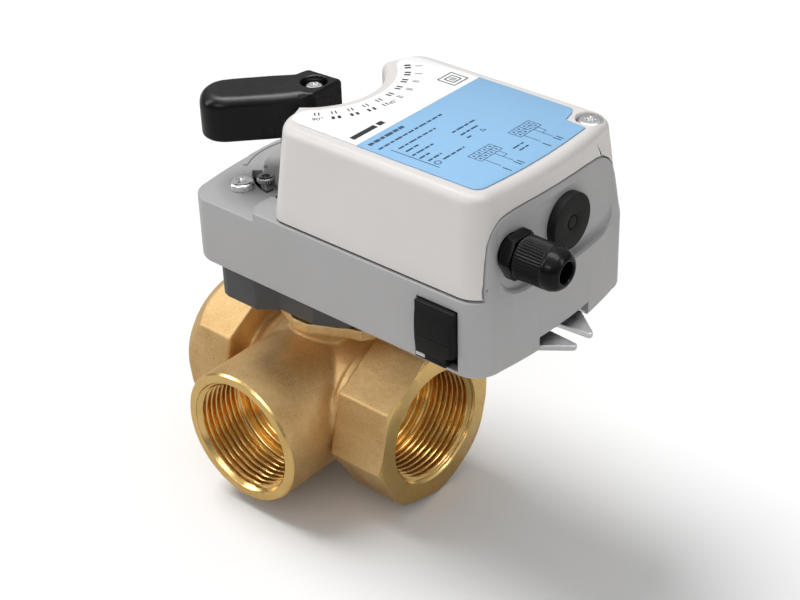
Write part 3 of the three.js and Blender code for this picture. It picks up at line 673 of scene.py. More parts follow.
def thread(face, m, surface):
    """The space a G 1 1/4 male thread fills: a helical groove, a mouth chamfer and a runout."""
    pitch, root_r, depth = 2.309, 19.52, 1.42
    chamfer_depth, chamfer_r = 2.1, 21.3
    z0, z1 = face - THREAD, face + 1.2
    around, per_pitch = 160, 16
    steps = int((z1 - z0) / pitch * per_pitch)
    rings = []
    for i in range(steps + 1):
        z = z0 + (z1 - z0) * i / steps
        ring = []
        for k in range(around):
            a = 2 * math.pi * k / around
            phase = (z / pitch - a / (2 * math.pi)) % 1.0
            ramp = clamp((1 - abs(2 * phase - 1) - 0.17) / 0.66)
            crest = smooth(ramp) * 0.35 + ramp * 0.65
            r = root_r + depth * crest * clamp((z - z0 - 0.5) / pitch)
            if z > face - chamfer_depth:
                chamfer = root_r + (z - (face - chamfer_depth)) * 0.95
                r = max(r, min(chamfer, chamfer_r))
            ring.append((r * math.cos(a), r * math.sin(a), z))
        rings.append(ring)
    return skin("thread", rings, m, surface)


def port(face, m, surface):
    """Thread, runout, shoulder and waterway of one port."""
    end = face - THREAD
    waterway = [
        (0, 5), (11, 5), (11, end - 3.4), (12.2, end - 2.4), (15.6, end - 2.4),
        (15.9, end - 2.1), (15.9, end - 0.4), (16.6, end + 0.4), (0, end + 0.4),
    ]
    return thread(face, m, surface), lathe("waterway", waterway, 96, m, surface)


def valve_casting():
    left = octagon("left", -PORT_X - 1.2, -PORT_X + OCT_LENGTH, place("X"))
    cone = [(0, PORT_X + 3), (24.6 - 3, PORT_X + 3), (24.6, PORT_X), (30, PORT_X - 7.4), (30, 20),
            (0, 20)]
    common(left, lathe("cone", cone, 96, place("NX")))
    # (radius, x) along the barrel round the ball
    barrel = [
        (0, -27), (17.6, -27), (18.4, -22.8), (21.4, -18.5), (25.0, -14), (26.9, -9), (26.6, -5),
        (25.4, 2), (24.3, 8), (24.2, 17), (24.3, 20.8), (26.1, 22.2), (26.4, 22.8), (26.4, 25.6),
        (0, 25.6),
    ]
    middle = lathe("middle", barrel, 120, place("X"))
    branch = rod(24.8, 0, BRANCH_Y + 1.2, 120, place("NY"))
    neck = [(0, 14), (13.4, 14), (13.0, 27), (12.4, PAD_Z), (0, PAD_Z)]
    boss = lathe("boss", neck, 80)
    # mounting pad with scalloped edges and two lobes on each side: x, y, corner radius
    half = [
        (-15, -12, 6), (-4, -17.6, 4), (4.2, -21.4, 3), (10.4, -21.2, 3), (13.2, -18.9, 3),
        (19.4, -16.6, 3), (22.2, -14.8, 2), (27.6, -13.2, 3), (30.2, -9.4, 3),
    ]
    pad = prism("pad", rounded(half + mirrored(half), n=5), 33.4, PAD_Z)
    fillet = lathe(
        "pad_fillet", [(0, 24), (13.2, 24), (14.2, 30), (17.5, 33.8), (0, 33.8)], 80)
    body = merge(left, middle, branch, boss, pad, fillet)
    body.name = "valve_body_casting"
    cast(body, 0.62, 9, 0.07)
    return body


def machine_valve(body):
    along_x, to_left, to_branch = place("X"), place("NX"), place("NY")
    far = 60
    branch_face = [
        (0, BRANCH_Y), (24.1, BRANCH_Y), (24.9, BRANCH_Y - 0.8), (30, BRANCH_Y - 0.8),
        (30, BRANCH_Y + 4), (0, BRANCH_Y + 4),
    ]
    cavity = [(0, -14.2), (19.4, -14.2), (19.4, 14.1), (22, 14.1), (22, 30), (0, 30)]
    stem_bore = [(0, 12), (8, 12), (8, 21.4), (6.2, 21.4), (6.2, 26), (9, 26), (9, 45), (0, 45)]
    # outer faces: left port, branch, pad top and the joint to the end connector
    cut(body, block(-far, -PORT_X, -far, far, -far, far, surface=X_FACE))
    cut(body, lathe("branch_face", branch_face, 160, to_branch, Y_FACE))
    cut(body, block(-22, 36, -26, 26, 37.4, 45, surface=CAST_FACE))
    cut(body, block(25.08, 40, -40, 40, -40, 30.5, surface=CAST_FACE))
    cut(body, *port(PORT_X, to_left, X_FACE))
    cut(body, *port(BRANCH_Y, to_branch, Y_FACE))
    # ball cavity, left and branch seats, stem bore
    cut(
        body,
        lathe("cavity", cavity, 120, along_x, X_FACE),
        rod(16.5, 12, 19.7, 96, to_left, X_FACE),
        rod(14.1, 8, 21.4, 96, to_branch, Y_FACE),
        lathe("stem_bore", stem_bore, 64, IDENT, X_FACE),
    )


def build_valve_body():
    body = valve_casting()
    machine_valve(body)
    stud_profile = [(0, 35), (1.9, 35), (2.2, 35.4), (2.2, 48.6), (1.9, 49), (0, 49)]
    for side, angle in ADAPTER_SCREW_ANGLES.items():
        spot = shift(*polar(ADAPTER_SCREW_R, angle))
        cut(body, rod(2.6, 34.6, 45, 32, spot, X_FACE))
        stud = lathe(f"adapter_screw_{side}_stud", stud_profile, 32, spot)
        finish(stud, "fixed", f"adapter_screw_{side}", "zinc_steel", ZINC)
    finish(body, "fixed", "valve_body", "cast_brass", *BRASSES, sharp=38)


def build_end_connector():
    along_x = place("X")
    inner_x = PORT_X - OCT_LENGTH
    end = octagon("end_connector_casting", inner_x, PORT_X + 1.2, along_x)
    neck = lathe(
        "neck", [(0, 24.6), (26.4, 24.6), (26.4, inner_x + 1), (0, inner_x + 1)], 120, along_x)
    merge(end, neck)
    cast(end, 0.55, 6, 0.05)
    face = [
        (0, PORT_X), (27.6, PORT_X), (28.6, PORT_X - 0.5), (31.5, PORT_X - 2.0),
        (34, PORT_X - 2.0), (34, PORT_X + 4), (0, PORT_X + 4),
    ]
    cut(end, lathe("face", face, 160, along_x, X_FACE))
    cut(end, block(10, 25.14, -40, 40, -40, 40, surface=CAST_FACE))
    spigot = [(0, 14.3), (21.3, 14.3), (21.85, 14.9), (21.85, 27), (0, 27)]
    join(end, lathe("spigot", spigot, 120, along_x, X_FACE))
    cut(end, *port(PORT_X, along_x, X_FACE))
    cut(end, rod(16.5, 13, 19.7, 96, along_x, X_FACE))
    finish(end, "fixed", "end_connector", "cast_brass", *BRASSES, sharp=38)


# ------------------------------------------------------------------ outlines of the case
def inner_size(ins):
    """Half width and corner radius of the case outline inset by ins."""
    return CASE_W - ins, max(CASE_CORNER - ins * 0.5, 1)


def bow(x, depth, half, n):
    """A bowed end at x between -half and half; a negative half runs it from + to -."""
    ys = [half * (2 * i / n - 1) for i in range(1, n)]
    return [(x + depth * (1 - (y / half) ** 2), y) for y in ys]


def case_end(ins, n=14, bow_n=28):
    """The +X end of the case, from the front corner to the rear one."""
    x, (w, r) = CASE_X1 - ins, inner_size(ins)
    front = arc(x - r, -(w - r), r, 270, 360, n)
    return front + bow(x, BULGE_X1, w - r, bow_n) + arc(x - r, w - r, r, 0, 90, n)


def case_plan(ins, n=14, bow_n=28):
    x, (w, r) = CASE_X0 + ins, inner_size(ins)
    rear = arc(x + r, w - r, r, 90, 180, n)
    front = arc(x + r, -(w - r), r, 180, 270, n)
    return case_end(ins, n, bow_n) + rear + bow(x, -BULGE_X0, -(w - r), bow_n) + front


def case_core(ins, z0, z1):
    """A coarse block with the case outline inset by ins, for hollowing."""
    return skin("core", [lift(case_plan(ins, 6, 8), z) for z in (z0, z1)])


def cover_plan(ins, arm, arc_r, r=5.0):
    """The cover outline: its two arms reach back to x = arm round a hollow of radius arc_r."""
    w = CASE_W - ins
    rear = arc(arm + r, w - r, r, 90, 180, 8)
    front = arc(arm + r, -(w - r), r, 180, 270, 8)
    return case_end(ins) + rear + arc(0, 0, arc_r, 57, -57, 44) + front


# y, z of the arched end plate, seen along X
ARCH = [
    (-33.6, 80), (33.6, 80), (33.5, 88), (33.0, 94), (32.1, 99.5), (30.7, 103.4), (28.4, 106.4),
    (25.2, 108.6), (21, 109.9), (14, 110.7), (4, 111.1), (-6, 111.2), (-15, 111.1), (-20, 110.8),
    (-24, 110.1), (-27, 108.9), (-29.3, 106.7), (-30.7, 103.6), (-31.8, 98.5), (-32.9, 91),
    (-33.4, 88),
]
# inset, z of the drafted surface of the end plate
END_DRAFT = ((0.07, 80.0), (0.08, 85.6), (0.16, 86.9), (0.34, 88.3), (0.62, 90.2), (3.9, 115.8))


def arch(grow):
    """The outline of the end plate grown by a gap."""
    return inset(rounded([(y, z, 4 if z > 88 else 0) for y, z in ARCH], n=4), -grow)


def drafted_end(deeper=0):
    return skin("end", [lift(case_plan(i + deeper), z) for i, z in END_DRAFT])


def recess_outline(grow=0):
    # centre y, centre z, radius and start angle of each corner
    corners = ((-19.0, 96.7, 10.9, 180), (18.2, 96.7, 10.9, 270), (18.6, 98.2, 10.5, 0),
               (-19.6, 98.7, 10.3, 90))
    return [p for y, z, r, a in corners for p in arc(y, z, r + grow, a, a + 90, 12)]


# ------------------------------------------------------------------ base housing
def base_shell():
    rings = []
    for t in quarter(4):
        out, up = 0.9 * (1 - math.sin(t)), 0.9 * (1 - math.cos(t))
        rings.append(lift(case_plan(-0.1 + out), CASE_Z0 + up))
    for t in quarter(4):
        back, down = 0.6 * (1 - math.cos(t)), 0.6 * (1 - math.sin(t))
        rings.append(lift(case_plan(0.05 + back), SEAM_Z - down))
    base = skin("base_housing_shell", rings)
    # front boundary of the lower deck: x, y, corner radius
    front = [(-40, -50), (6.7, -50), (6.7, -37.2, 0.8), (5, -35.7, 1), (4, -34, 1),
             (3.2, -31, 1)]
    boundary = rounded(front, False, 4) + arc(0, 0, 26.4, -82, 82, 60)
    boundary += rounded(mirrored(front), False, 4)
    cut(base, prism("deck", boundary, DECK_Z, SEAM_Z + 3))

    def deck_edge(p, e):
        outer = p.x < CASE_X0 + 9 or abs(p.y) > CASE_W - 1.5
        if abs(p.z - DECK_Z) < 0.02 and outer and math.hypot(p.x, p.y) > 27.5:
            return True
        if abs(p.z - SEAM_Z) < 0.02 and p.x < 20:
            return True
        return abs(direction(e).z) > 0.9 and p.x < 8 and p.z > DECK_Z and abs(p.y) > 36

    round_edges(base, 0.5, deck_edge, 3, 25)
    return base


def hollow_base(base):
    tray = case_core(3.8, DECK_Z, SEAM_Z + 1)
    limit = [(17, -60), (120, -60), (120, 60), (17, 60)] + arc(0, 0, 29, 54, -54, 30)
    common(tray, prism("tray_limit", limit, DECK_Z - 1, SEAM_Z + 2))
    chamber = case_core(2.6, PLATE_Z1, 80.7)
    rebate = case_core(1.2, CASE_Z0 - 1, PLATE_Z1 + 0.1)
    cut(base, tray, chamber, rebate)


def add_end_plate(base):
    """The plate under the arch of the cover, with its recess and two round holes."""
    along_x = place("X")
    end = drafted_end()
    common(end, prism("arch", arch(0.08), 92.2, 106, along_x))
    round_edges(
        end, 0.35, lambda p, e: p.x > 95 and p.z > 89.5 and (abs(p.y) > 33 or p.z > 100), 4, 25)
    join(base, end)
    cut(base, prism("recess", recess_outline(), 97.15, 108, along_x, rb=0.6))
    # the rim of the recess is rounded in three small steps that follow the drafted surface
    for grow, deep in ((0.75, 0.08), (0.48, 0.24), (0.22, 0.52)):
        rim = prism("rim", recess_outline(grow), 97.6, 108, along_x)
        cut(rim, drafted_end(deep))
        cut(base, rim)
    cut(base, rod(6.3, 90, 100, 48, GLAND_PLACE), rod(6.3, 90, 100, 48, PLUG_PLACE))


def build_base():
    base = base_shell()
    hollow_base(base)
    add_end_plate(base)
    cut(base, rod(14.6, 79, 90, 96))
    # x, radius and top of the holes along the middle
    for x, r, top in ((24, 1.56, 82.6), (40.8, 1.06, 82.6), (52.2, 1.6, 85)):
        cut(base, rod(r, 80, top, 24, shift(x, 0)))
    screw_x, screw_y = DECK_SCREW
    for s in SIDES.values():
        slot = arc(0, 0, 22.2, s * 97, s * 142, 30) + arc(0, 0, 18.8, s * 142, s * 97, 30)
        cut(base, prism("slot", slot, 79, 88), rod(1.75, 79, 88, 24, shift(screw_x, s * screw_y)))
    button_window = block(73.7, 89.2, -40, -27, 61.9, 82.8)
    fork_notch = block(93, 104, -12.6, 12.6, 58, 65.4)
    cut(base, button_window, fork_notch)
    join(base, block(77, 86, -19.5, -17.3, 66, 81.5))  # inner rib
    for x, y in ((70, -27), (70, 17), (87, -27), (82, 17)):  # posts in the tray
        join(base, rod(2.4, 83, 87.1, 32, shift(x, y)))
    # low guide ring beside the hub, on its -X side
    foot, shoulder, top = DECK_Z - 0.5, DECK_Z + 0.22, DECK_Z + 0.35
    guide = [(24.6, foot), (26.1, foot), (26.1, shoulder), (25.95, top), (24.75, top),
             (24.6, shoulder), (24.6, foot)]
    ring = lathe("guide", guide, 160)
    common(ring, prism("sector", [(0, 0)] + arc(0, 0, 40, 150, 210, 10), 80, 90))
    join(base, ring)
    finish(base, "fixed", "base_housing", "case_plastic", CASE)


# ------------------------------------------------------------------ cover
def cover_shell():
    rings = []
    for t in quarter(3):  # bottom edge
        s, c = 1 - math.sin(t), 1 - math.cos(t)
        plan = cover_plan(0.6 + 0.45 * s, 13.2 + 0.45 * s, ARC_R + 0.3 * s, 5.5)
        rings.append(lift(plan, COVER_Z0 + 0.12 + 0.45 * c))
    for z in (92, 98, 104, 110):  # drafted walls
        f = (z - COVER_Z0) / (SHOULDER_Z - COVER_Z0)
        rings.append(lift(cover_plan(0.6 + 3.25 * f, 13.2 + 0.9 * f, ARC_R, 5.5 + 2.3 * f), z))
    for t in quarter(10):  # rounded top edge
        c = 1 - math.cos(t)
        plan = cover_plan(3.85 + 3.3 * c, 14.1 + 1.2 * c, ARC_R + 2.5 * c, 7.8 - 0.4 * c)
        rings.append(lift(plan, SHOULDER_Z + (COVER_TOP - SHOULDER_Z) * math.sin(t)))
    return skin("cover_shell", rings)


def build_cover():
    cover = cover_shell()
    # inset, arm x, growth of the hollow, z of the inner walls
    inner = [(2.8, 15.7, 2.2, 86.2), (6.1, 17.8, 2.2, 114.4), (7.3, 18.1, 3, 115.7),
             (8.6, 18.9, 4.3, 116.6)]
    cut(cover, skin("inner", [lift(cover_plan(i, a, ARC_R + g), z) for i, a, g, z in inner]))
    cut(cover, prism("arch", arch(0.5), 90.5, 108, place("X")))

    def arch_edge(p, e):
        return p.x > 95 and 88 < p.z < 113.6 and abs(direction(e).x) < 0.85

    round_edges(cover, 0.45, arch_edge, 3, 30, clean=0)
    spot = shift(*COVER_SCREW)
    join(cover, rod(3.6, 89, 117.3, 48, spot))
    hole = [(0, 85), (1.8, 85), (1.8, 115.9), (4.35, 115.9), (4.35, 118.35), (4.75, 118.9),
            (4.75, 121), (0, 121)]
    cut(cover, lathe("hole", hole, 64, spot))
    finish(cover, "fixed", "cover", "cover_plastic", COVER)


# ------------------------------------------------------------------ screws and end stops
def plus(w, l):
    """A plus sign with arms of half width w and length l."""
    return [(w, w), (w, l), (-w, l), (-w, w), (-l, w), (-l, -w), (-w, -w), (-w, -l), (w, -l),
            (w, -w), (l, -w), (l, w)]


def driver_cross(x, y, z, size, depth, turn):
    """The tapered cross of a driver tip, with small ribs between its wings."""
    w = size * 0.2
    wings = skin("wings", [
        lift(plus(w * 0.55, size * 0.34), z - depth),
        lift(plus(w, size), z),
        lift(plus(w * 1.05, size * 1.05), z + 1),
    ], shift(x, y) @ turned(turn))
    ribs = skin("ribs", [
        lift(plus(w * 0.25, size * 0.3), z - depth * 0.45),
        lift(plus(w * 0.45, size * 0.74), z),
        lift(plus(w * 0.5, size * 0.8), z + 1),
    ], shift(x, y) @ turned(turn + 45))
    return wings, ribs


def pan_screw(name, x, y, z, r, h, shank_r, shank_z, size, depth, turn):
    """A domed head of radius r and height h on z, its shank down to shank_z, and a cross."""
    top = z + h
    head = rounded([(shank_r, z), (r, z, 0.22), (r, top, h * 0.8), (0, top)], False, 9)
    profile = [(0, shank_z), (shank_r, shank_z)] + head
    screw = lathe(name, profile, 72, shift(x, y))
    cut(screw, *driver_cross(x, y, top, size, depth, turn))
    return screw


def build_deck_screw(side, s):
    x, y = DECK_SCREW
    screw = pan_screw(
        f"deck_screw_{side}_head", x, s * y, DECK_Z + 0.05, r=4.2, h=2.45, shank_r=1.6,
        shank_z=76, size=2.0, depth=1.7, turn=52 if s > 0 else 12)
    finish(screw, "fixed", f"deck_screw_{side}", "chrome_steel", CHROME)


def build_end_stop(side, s):
    spot = shift(*polar(20.5, s * STOP_ANGLE))

    def knurl(a, h, r):
        return r - (0.16 * (0.5 + 0.5 * math.cos(a * 26)) if r > 2.7 and h < 88.6 else 0)

    profile = [
        (0, 80.6), (0.9, 80.6), (0.9, 86.7), (2.85, 86.7), (3, 86.9), (3, 87.5), (3, 88.0),
        (2.9, 88.25), (2.65, 88.45), (2.4, 88.55), (0, 88.55),
    ]
    screw = lathe(f"end_stop_screw_{side}_head", profile, 208, spot, ridge=knurl)
    cut(screw, prism("hex", polygon(6, 2.7 / math.sqrt(3), 10), 87.1, 92, spot))
    finish(screw, f"stop_{side}", f"end_stop_screw_{side}", "plain_steel", BLACK_CHROME)

    sector = arc(0, 0, 21.8, s * 99, s * 108, 10) + arc(0, 0, 19.2, s * 108, s * 99, 10)
    stop = prism(f"end_stop_{side}_block", sector, 79.6, 86.6, rt=0.2, rb=0.2)
    cut(stop, rod(0.98, 80.4, 89, 24, spot))
    for k in range(5):  # grooves across the top
        cut(stop, block(18, 24, -0.12, 0.12, 86.2, 88, turned(s * (99.8 + 1.85 * k))))
    finish(stop, f"stop_{side}", f"end_stop_{side}", "plain_steel", STEEL)


def build_cover_screw():
    screw = pan_screw(
        "cover_screw_head", *COVER_SCREW, 116.0, r=3.85, h=2.4, shank_r=1.65, shank_z=85,
        size=1.9, depth=1.5, turn=24)
    finish(screw, "fixed", "cover_screw", "chrome_steel", CHROME)


def build_handle_screw():
    screw = pan_screw(
        "handle_screw_head", 0, 0, 111.95, r=3.2, h=2.9, shank_r=2.35, shank_z=91.5,
        size=1.75, depth=1.6, turn=8)
    finish(screw, "output", "handle_screw", "chrome_steel", CHROME)


# ------------------------------------------------------------------ lever and hub
def build_handle():
    lever_turn = turned(LEVER_TURN)
    top_z = 116
    # x along the lever, y, corner radius; the pointer end is at -x
    outline = rounded([
        (37.0, -8.9, 8.2), (37.0, 9.2, 8.2), (14, 9.4, 4), (5.5, 8.9, 3), (0.2, 9.1, 0.45),
        (-8.7, 0.6, 0.4), (-8.7, -0.6, 0.4), (0.2, -9.1, 0.45), (5.5, -8.7, 3), (14, -9.1, 4),
    ], n=9)
    # points along the long straight sides keep the rounding even
    dense = []
    for (x0, y0), (x1, y1) in zip(outline, outline[1:] + outline[:1]):
        n = max(1, int(math.hypot(x1 - x0, y1 - y0) / 1.5))
        dense += [(x0 + (x1 - x0) * i / n, y0 + (y1 - y0) * i / n) for i in range(n)]

    def top_radius(x):
        return 0.5 + 2.9 * smooth(clamp((x - 1.2) / 5)) + 1.4 * clamp((x - 26) / 11)

    radii = [top_radius(x) for x, y in dense]
    lever = prism("handle_lever", dense, 100.8, top_z, lever_turn, rt=radii, rb=1.3, n=9)
    # the pointer end falls away from the pocket in flat facets
    for s in (1, -1):
        normal = Vector((-0.69, s * 0.72, 0.5)).normalized()
        u = normal.cross(Vector((0, 0, 1))).normalized()
        v = normal.cross(u).normalized()
        facet = axes((-3.7, s * 4.2, top_z), u, v, normal)
        cut(lever, block(-20, 20, -20, 20, 0, 20, lever_turn @ facet))
    pocket = [(0, 111.9), (4.1, 111.9), (4.2, 115.1), (4.4, 115.75), (4.75, 116.0), (4.8, 118.5),
              (0, 118.5)]
    cut(lever, lathe("pocket", pocket, 72))
    cut(lever, block(-6.3, 6.3, -6.3, 6.3, 100, 106), rod(2.5, 100, 113, 32))
    finish(lever, "output", "handle", "gloss_black", BLACK)


def build_hub():
    section = rounded([
        (9.8, 72.2), (9.8, 79), (12, 79, 0.3), (12, 84.9, 0.2), (18.2, 84.9, 0.3),
        (18.2, 86.5, 0.4), (12, 86.5, 0.8), (12, 101.5, 0.4), (6.0, 101.5), (6.0, 72.2),
    ], n=5)
    hub = lathe("output_hub_turned", section + section[:1], 128)
    cut(hub, block(-6.28, 6.28, -6.28, 6.28, HUB_SQUARE_Z0, 103))
    for angle in (LEVER_TURN + 180, LEVER_TURN + 360):  # index notches in the disc
        cut(hub, block(16.9, 20, -1.0, 1.0, 84, 88, turned(angle)))
    finish(hub, "output", "output_hub", "case_plastic", CASE)


# ------------------------------------------------------------------ bottom plate and adapter
def build_bottom_plate():
    plate = prism(
        "bottom_plate_pressing", case_plan(1.5), PLATE_Z0, PLATE_Z1, rt=0.2, rb=0.2, n=2)
    cut(plate, block(93.8, 110, -14, 14, 58, 63))
    half = [(86, -12.2), (98, -12.2, 1.2), (107.6, -4.9, 0.9), (107.6, -3.2, 0.8),
            (95.5, -2.3, 1.0)]
    fork = rounded(half + mirrored(half), n=5)
    join(plate, prism("fork", fork, PLATE_Z0, PLATE_Z1, rt=0.35, rb=0.3, n=3))
    cut(plate, rod(11.6, 58, 63, 64))
    finish(plate, "fixed", "bottom_plate", "zinc_steel", ZINC)


def build_adapter():
    half = [
        (-26.1, -22, 2), (-25.2, -24.6, 1.4), (-22.6, -25.4, 1.4), (-9, -25.4, 2.5),
        (-2, -20.4, 3), (13, -20.2, 4), (23.5, -14.5, 3), (25.6, -10, 2),
    ]
    outline = rounded(half + mirrored(half), n=5)
    adapter = prism("mounting_adapter_block", outline, 37.7, 59.3, rt=0.4, rb=0.7, n=3)
    cut(adapter, rod(12, 36, 61, 72))
    for angle in ADAPTER_SCREW_ANGLES.values():
        cut(adapter, rod(2.5, 36, 50, 24, shift(*polar(ADAPTER_SCREW_R, angle))))
    finish(adapter, "fixed", "mounting_adapter", "adapter_plastic", ADAPTER)


# ------------------------------------------------------------------ cable gland, plug, button
def build_gland_body():
    g = GLAND_PLACE
    body = prism("gland_body_hex", polygon(6, 13.4 / math.sqrt(3)), 97.2, 101.0, g)
    chamfer = [(0, 97.2), (7.2, 97.2), (8.0, 97.6), (8.0, 100.4), (7.1, 101.0), (0, 101.0)]
    common(body, lathe("chamfer", chamfer, 96, g))
    round_edges(body, 0.3, None, 2, 30)
    shank = lathe("shank", [(0, 88.4), (5.8, 88.4), (6, 88.7), (6, 98), (0, 98)], 64, g)
    join(body, shank, rod(4.9, 99, 106, 64, g))
    cut(body, rod(3, 80, 110, 48, g))
    finish(body, "fixed", "gland_body", "gloss_black", NYLON)


def build_gland_nut():
    teeth, z0, z1 = 44, 101.8, 110.6

    def rib(a, h, r):
        if r < 5.4 or h < z0 or h > z1:
            return r
        fade = min(1, (h - z0) / 0.5, max(0, (z1 - h) / 0.25))
        wave = 0.5 + 0.5 * math.cos(a * teeth)
        return r - 0.26 * fade * (1 - wave ** 0.6)

    profile = [(5.05, 101.3), (6.6, 101.3), (6.9, 101.6), (6.9, 101.9)]
    profile += [(6.9 - 0.3 * i / 10, 102.2 + i * 0.77) for i in range(11)]
    profile += [
        (6.58, 110.2), (6.5, 110.45), (6.4, 110.6), (6.5, 110.8), (6.62, 111.05), (6.68, 111.4),
        (6.66, 112.0), (6.55, 112.8), (6.33, 113.6), (5.98, 114.35), (5.5, 115.0), (5.0, 115.5),
        (4.45, 115.85), (3.95, 116.0), (3.6, 115.93), (3.35, 115.7), (3.22, 115.3), (3.2, 112.4),
        (5.05, 111), (5.05, 101.3),
    ]
    nut = lathe("gland_nut_ribbed", profile, teeth * 8, GLAND_PLACE, ridge=rib)
    finish(nut, "fixed", "gland_nut", "gland_nylon", NYLON, sharp=24)


def build_plug():
    profile = [
        (0, 91), (5.6, 91), (5.9, 91.3), (5.9, 97.1), (8.9, 97.1), (9.15, 97.3), (9.15, 99.6),
        (9.08, 99.85), (8.9, 100.02), (8.6, 100.08), (5, 100.02), (2.75, 99.98), (2.5, 99.9),
        (2.35, 99.5), (2.05, 99.5), (1.9, 99.9), (1.65, 99.97), (0, 100.0),
    ]
    plug = lathe("blanking_plug_disc", profile, 128, PLUG_PLACE)
    finish(plug, "fixed", "blanking_plug", "black_rubber", RUBBER)


def build_button():
    to_front = place("NY")  # local x, y, z -> X, Z, -Y
    outline = rounded([
        (74.0, 62.3, 0.3), (85.6, 62.3, 0.3), (85.9, 65.9, 0.4), (88.9, 66.6, 0.6),
        (88.9, 82.4, 0.8), (74.0, 82.4, 0.6),
    ], n=5)
    button = prism("release_button_cap", outline, 33.2, 39.5, to_front, rt=0.5, n=4)
    # the crown is a shallow barrel, proud in the middle of its height
    z0, z1, middle_z = 62.6, 82.1, 72.4
    section = []
    for i in range(25):
        z = z0 + (z1 - z0) * i / 24
        t = (z - middle_z) / 10.2
        section.append((39.1 + 1.0 * (1 - t * t), z))
    section += [(36, z1), (36, z0)]
    across = axes((0, 0, 0), (0, -1, 0), (0, 0, 1), (1, 0, 0))
    crown = prism("crown", section, 74.25, 88.2, across, rt=0.9, rb=0.25, n=5)
    common(crown, prism("limit", inset(outline, 0.15), 35, 42, to_front))
    join(button, crown, block(75.5, 87.5, -33.4, -29.6, 64.5, 80))
    spring_place = to_front @ Matrix.Translation((81.4, middle_z, 0))
    cut(button, rod(4.2, 29, 31.6, 48, spring_place))
    finger_line = block(74.2, 88.4, -41, -39.95, 70.9, 71.15)
    cut(button, finger_line, block(74.1, 77.9, -41, -38.6, 62.7, 64.35))
    finish(button, "button", "release_button", "satin_black", SATIN, sharp=28)
    tab = rounded([(x, z, 0.25) for x, z in ((74.25, 62.8), (77.75, 62.8), (77.75, 64.2),
                                             (74.25, 64.2))], n=3)
    marker = prism("release_button_marker", tab, 38.3, 39.35, to_front, rt=0.15, n=2)
    finish(marker, "button", None, "cover_plastic", MARK)


# ------------------------------------------------------------------ label and its print
LABEL_EDGE, LABEL_W = 44.6, 29.2  # x where white meets blue, and half width
FILM_Z0, FILM_Z1, PRINT_Z1 = 118.83, 119.15, 119.19
CODE_X, CODE_Y = 38.7, 23.0


def build_label():
    films = [LABEL_WHITE, LABEL_BLUE]
    tip = [(16.5, -22.4), (16.0, -24.4), (16.3, -26.6), (17.6, -28.3), (19.8, -29.15),
           (22.5, -29.25)]
    white = tip + [(LABEL_EDGE, -LABEL_W), (LABEL_EDGE, LABEL_W)]
    white += mirrored(tip) + arc(0, 0, 27.0, 50, -50, 60)
    # +X end of the label: x, y, corner radius
    right = rounded([
        (60, -LABEL_W), (90.0, -29.0, 3.4), (91.1, -20), (91.9, -10), (92.15, 0), (91.9, 10),
        (91.2, 21.0, 0.4), (83.4, 21.6, 0.1), (82.2, 26.4, 0.6), (80.6, 29.0, 0.6),
        (60, LABEL_W),
    ], False, 5)
    blue = [(LABEL_EDGE, -LABEL_W)] + right + [(LABEL_EDGE, LABEL_W)]
    parts = [prism("label_film", poly, FILM_Z0, FILM_Z1, rt=0.12, n=2, surface=(index, films))
             for index, poly in enumerate((white, blue))]
    finish(merge(*parts), "fixed", "label", "label_film", *films)


def bar(x0, y0, x1, y1, w):
    """A printed line from one point to another."""
    along = Vector((x1 - x0, y1 - y0)).normalized()
    s = Vector((-along.y, along.x)) * (w / 2)
    corners = [(x0 - s.x, y0 - s.y), (x1 - s.x, y1 - s.y), (x1 + s.x, y1 + s.y),
               (x0 + s.x, y0 + s.y)]
    return prism("bar", corners, FILM_Z1, PRINT_Z1)


def tick(centre, along, half, w):
    return bar(*(centre - along * half), *(centre + along * half), w)


def digits(text, x, y, size, turn):
    curve = bpy.data.curves.new("digits", "FONT")
    curve.body, curve.size, curve.extrude = text, size, 0.02
    curve.align_x, curve.align_y = "CENTER", "CENTER"
    ob = link("digits", curve)
    bpy.context.view_layer.update()
    dg = bpy.context.evaluated_depsgraph_get()
    me = bpy.data.meshes.new_from_object(ob.evaluated_get(dg))
    bpy.data.objects.remove(ob)
    me.materials.clear()
    me.transform(Matrix.Translation((x, y, 119.17)) @ turned(turn))
    return link("digits", me)


def dial_step(k):
    """Marks of step k of the dial, at k * 10 degrees from its 90 degree end."""
    a = rad(-45 + 10 * k)
    radial = Vector((math.cos(a), math.sin(a)))
    side = Vector((-math.sin(a), math.cos(a)))
    w = 0.4 + 0.6 * max(0, k / 9 - 0.35) / 0.65
    marks = [tick(radial * 30.24 + side * (s * (0.42 + w / 2)), radial, 1.0, w)
             for s in (-1, 1)]
    if k in (1, 2, 3):
        for s in (-1, 1):
            marks.append(tick(radial * 33.66 + side * (s * 0.95), radial, 0.9, 1.1 - 0.09 * k))
    elif k == 4:
        for s in (-1, 1):
            marks.append(tick(radial * 33.8 + side * (s * 0.6 - 0.6), radial, 0.9, 0.45))
    elif k >= 5:
        centre = radial * 33.9
        marks.append(tick(centre, radial, 1.2, 0.38 if k == 5 else 0.32))
        if k < 8:
            marks.append(tick(centre + side * 0.75, radial, 1.0, 0.22))
    return marks


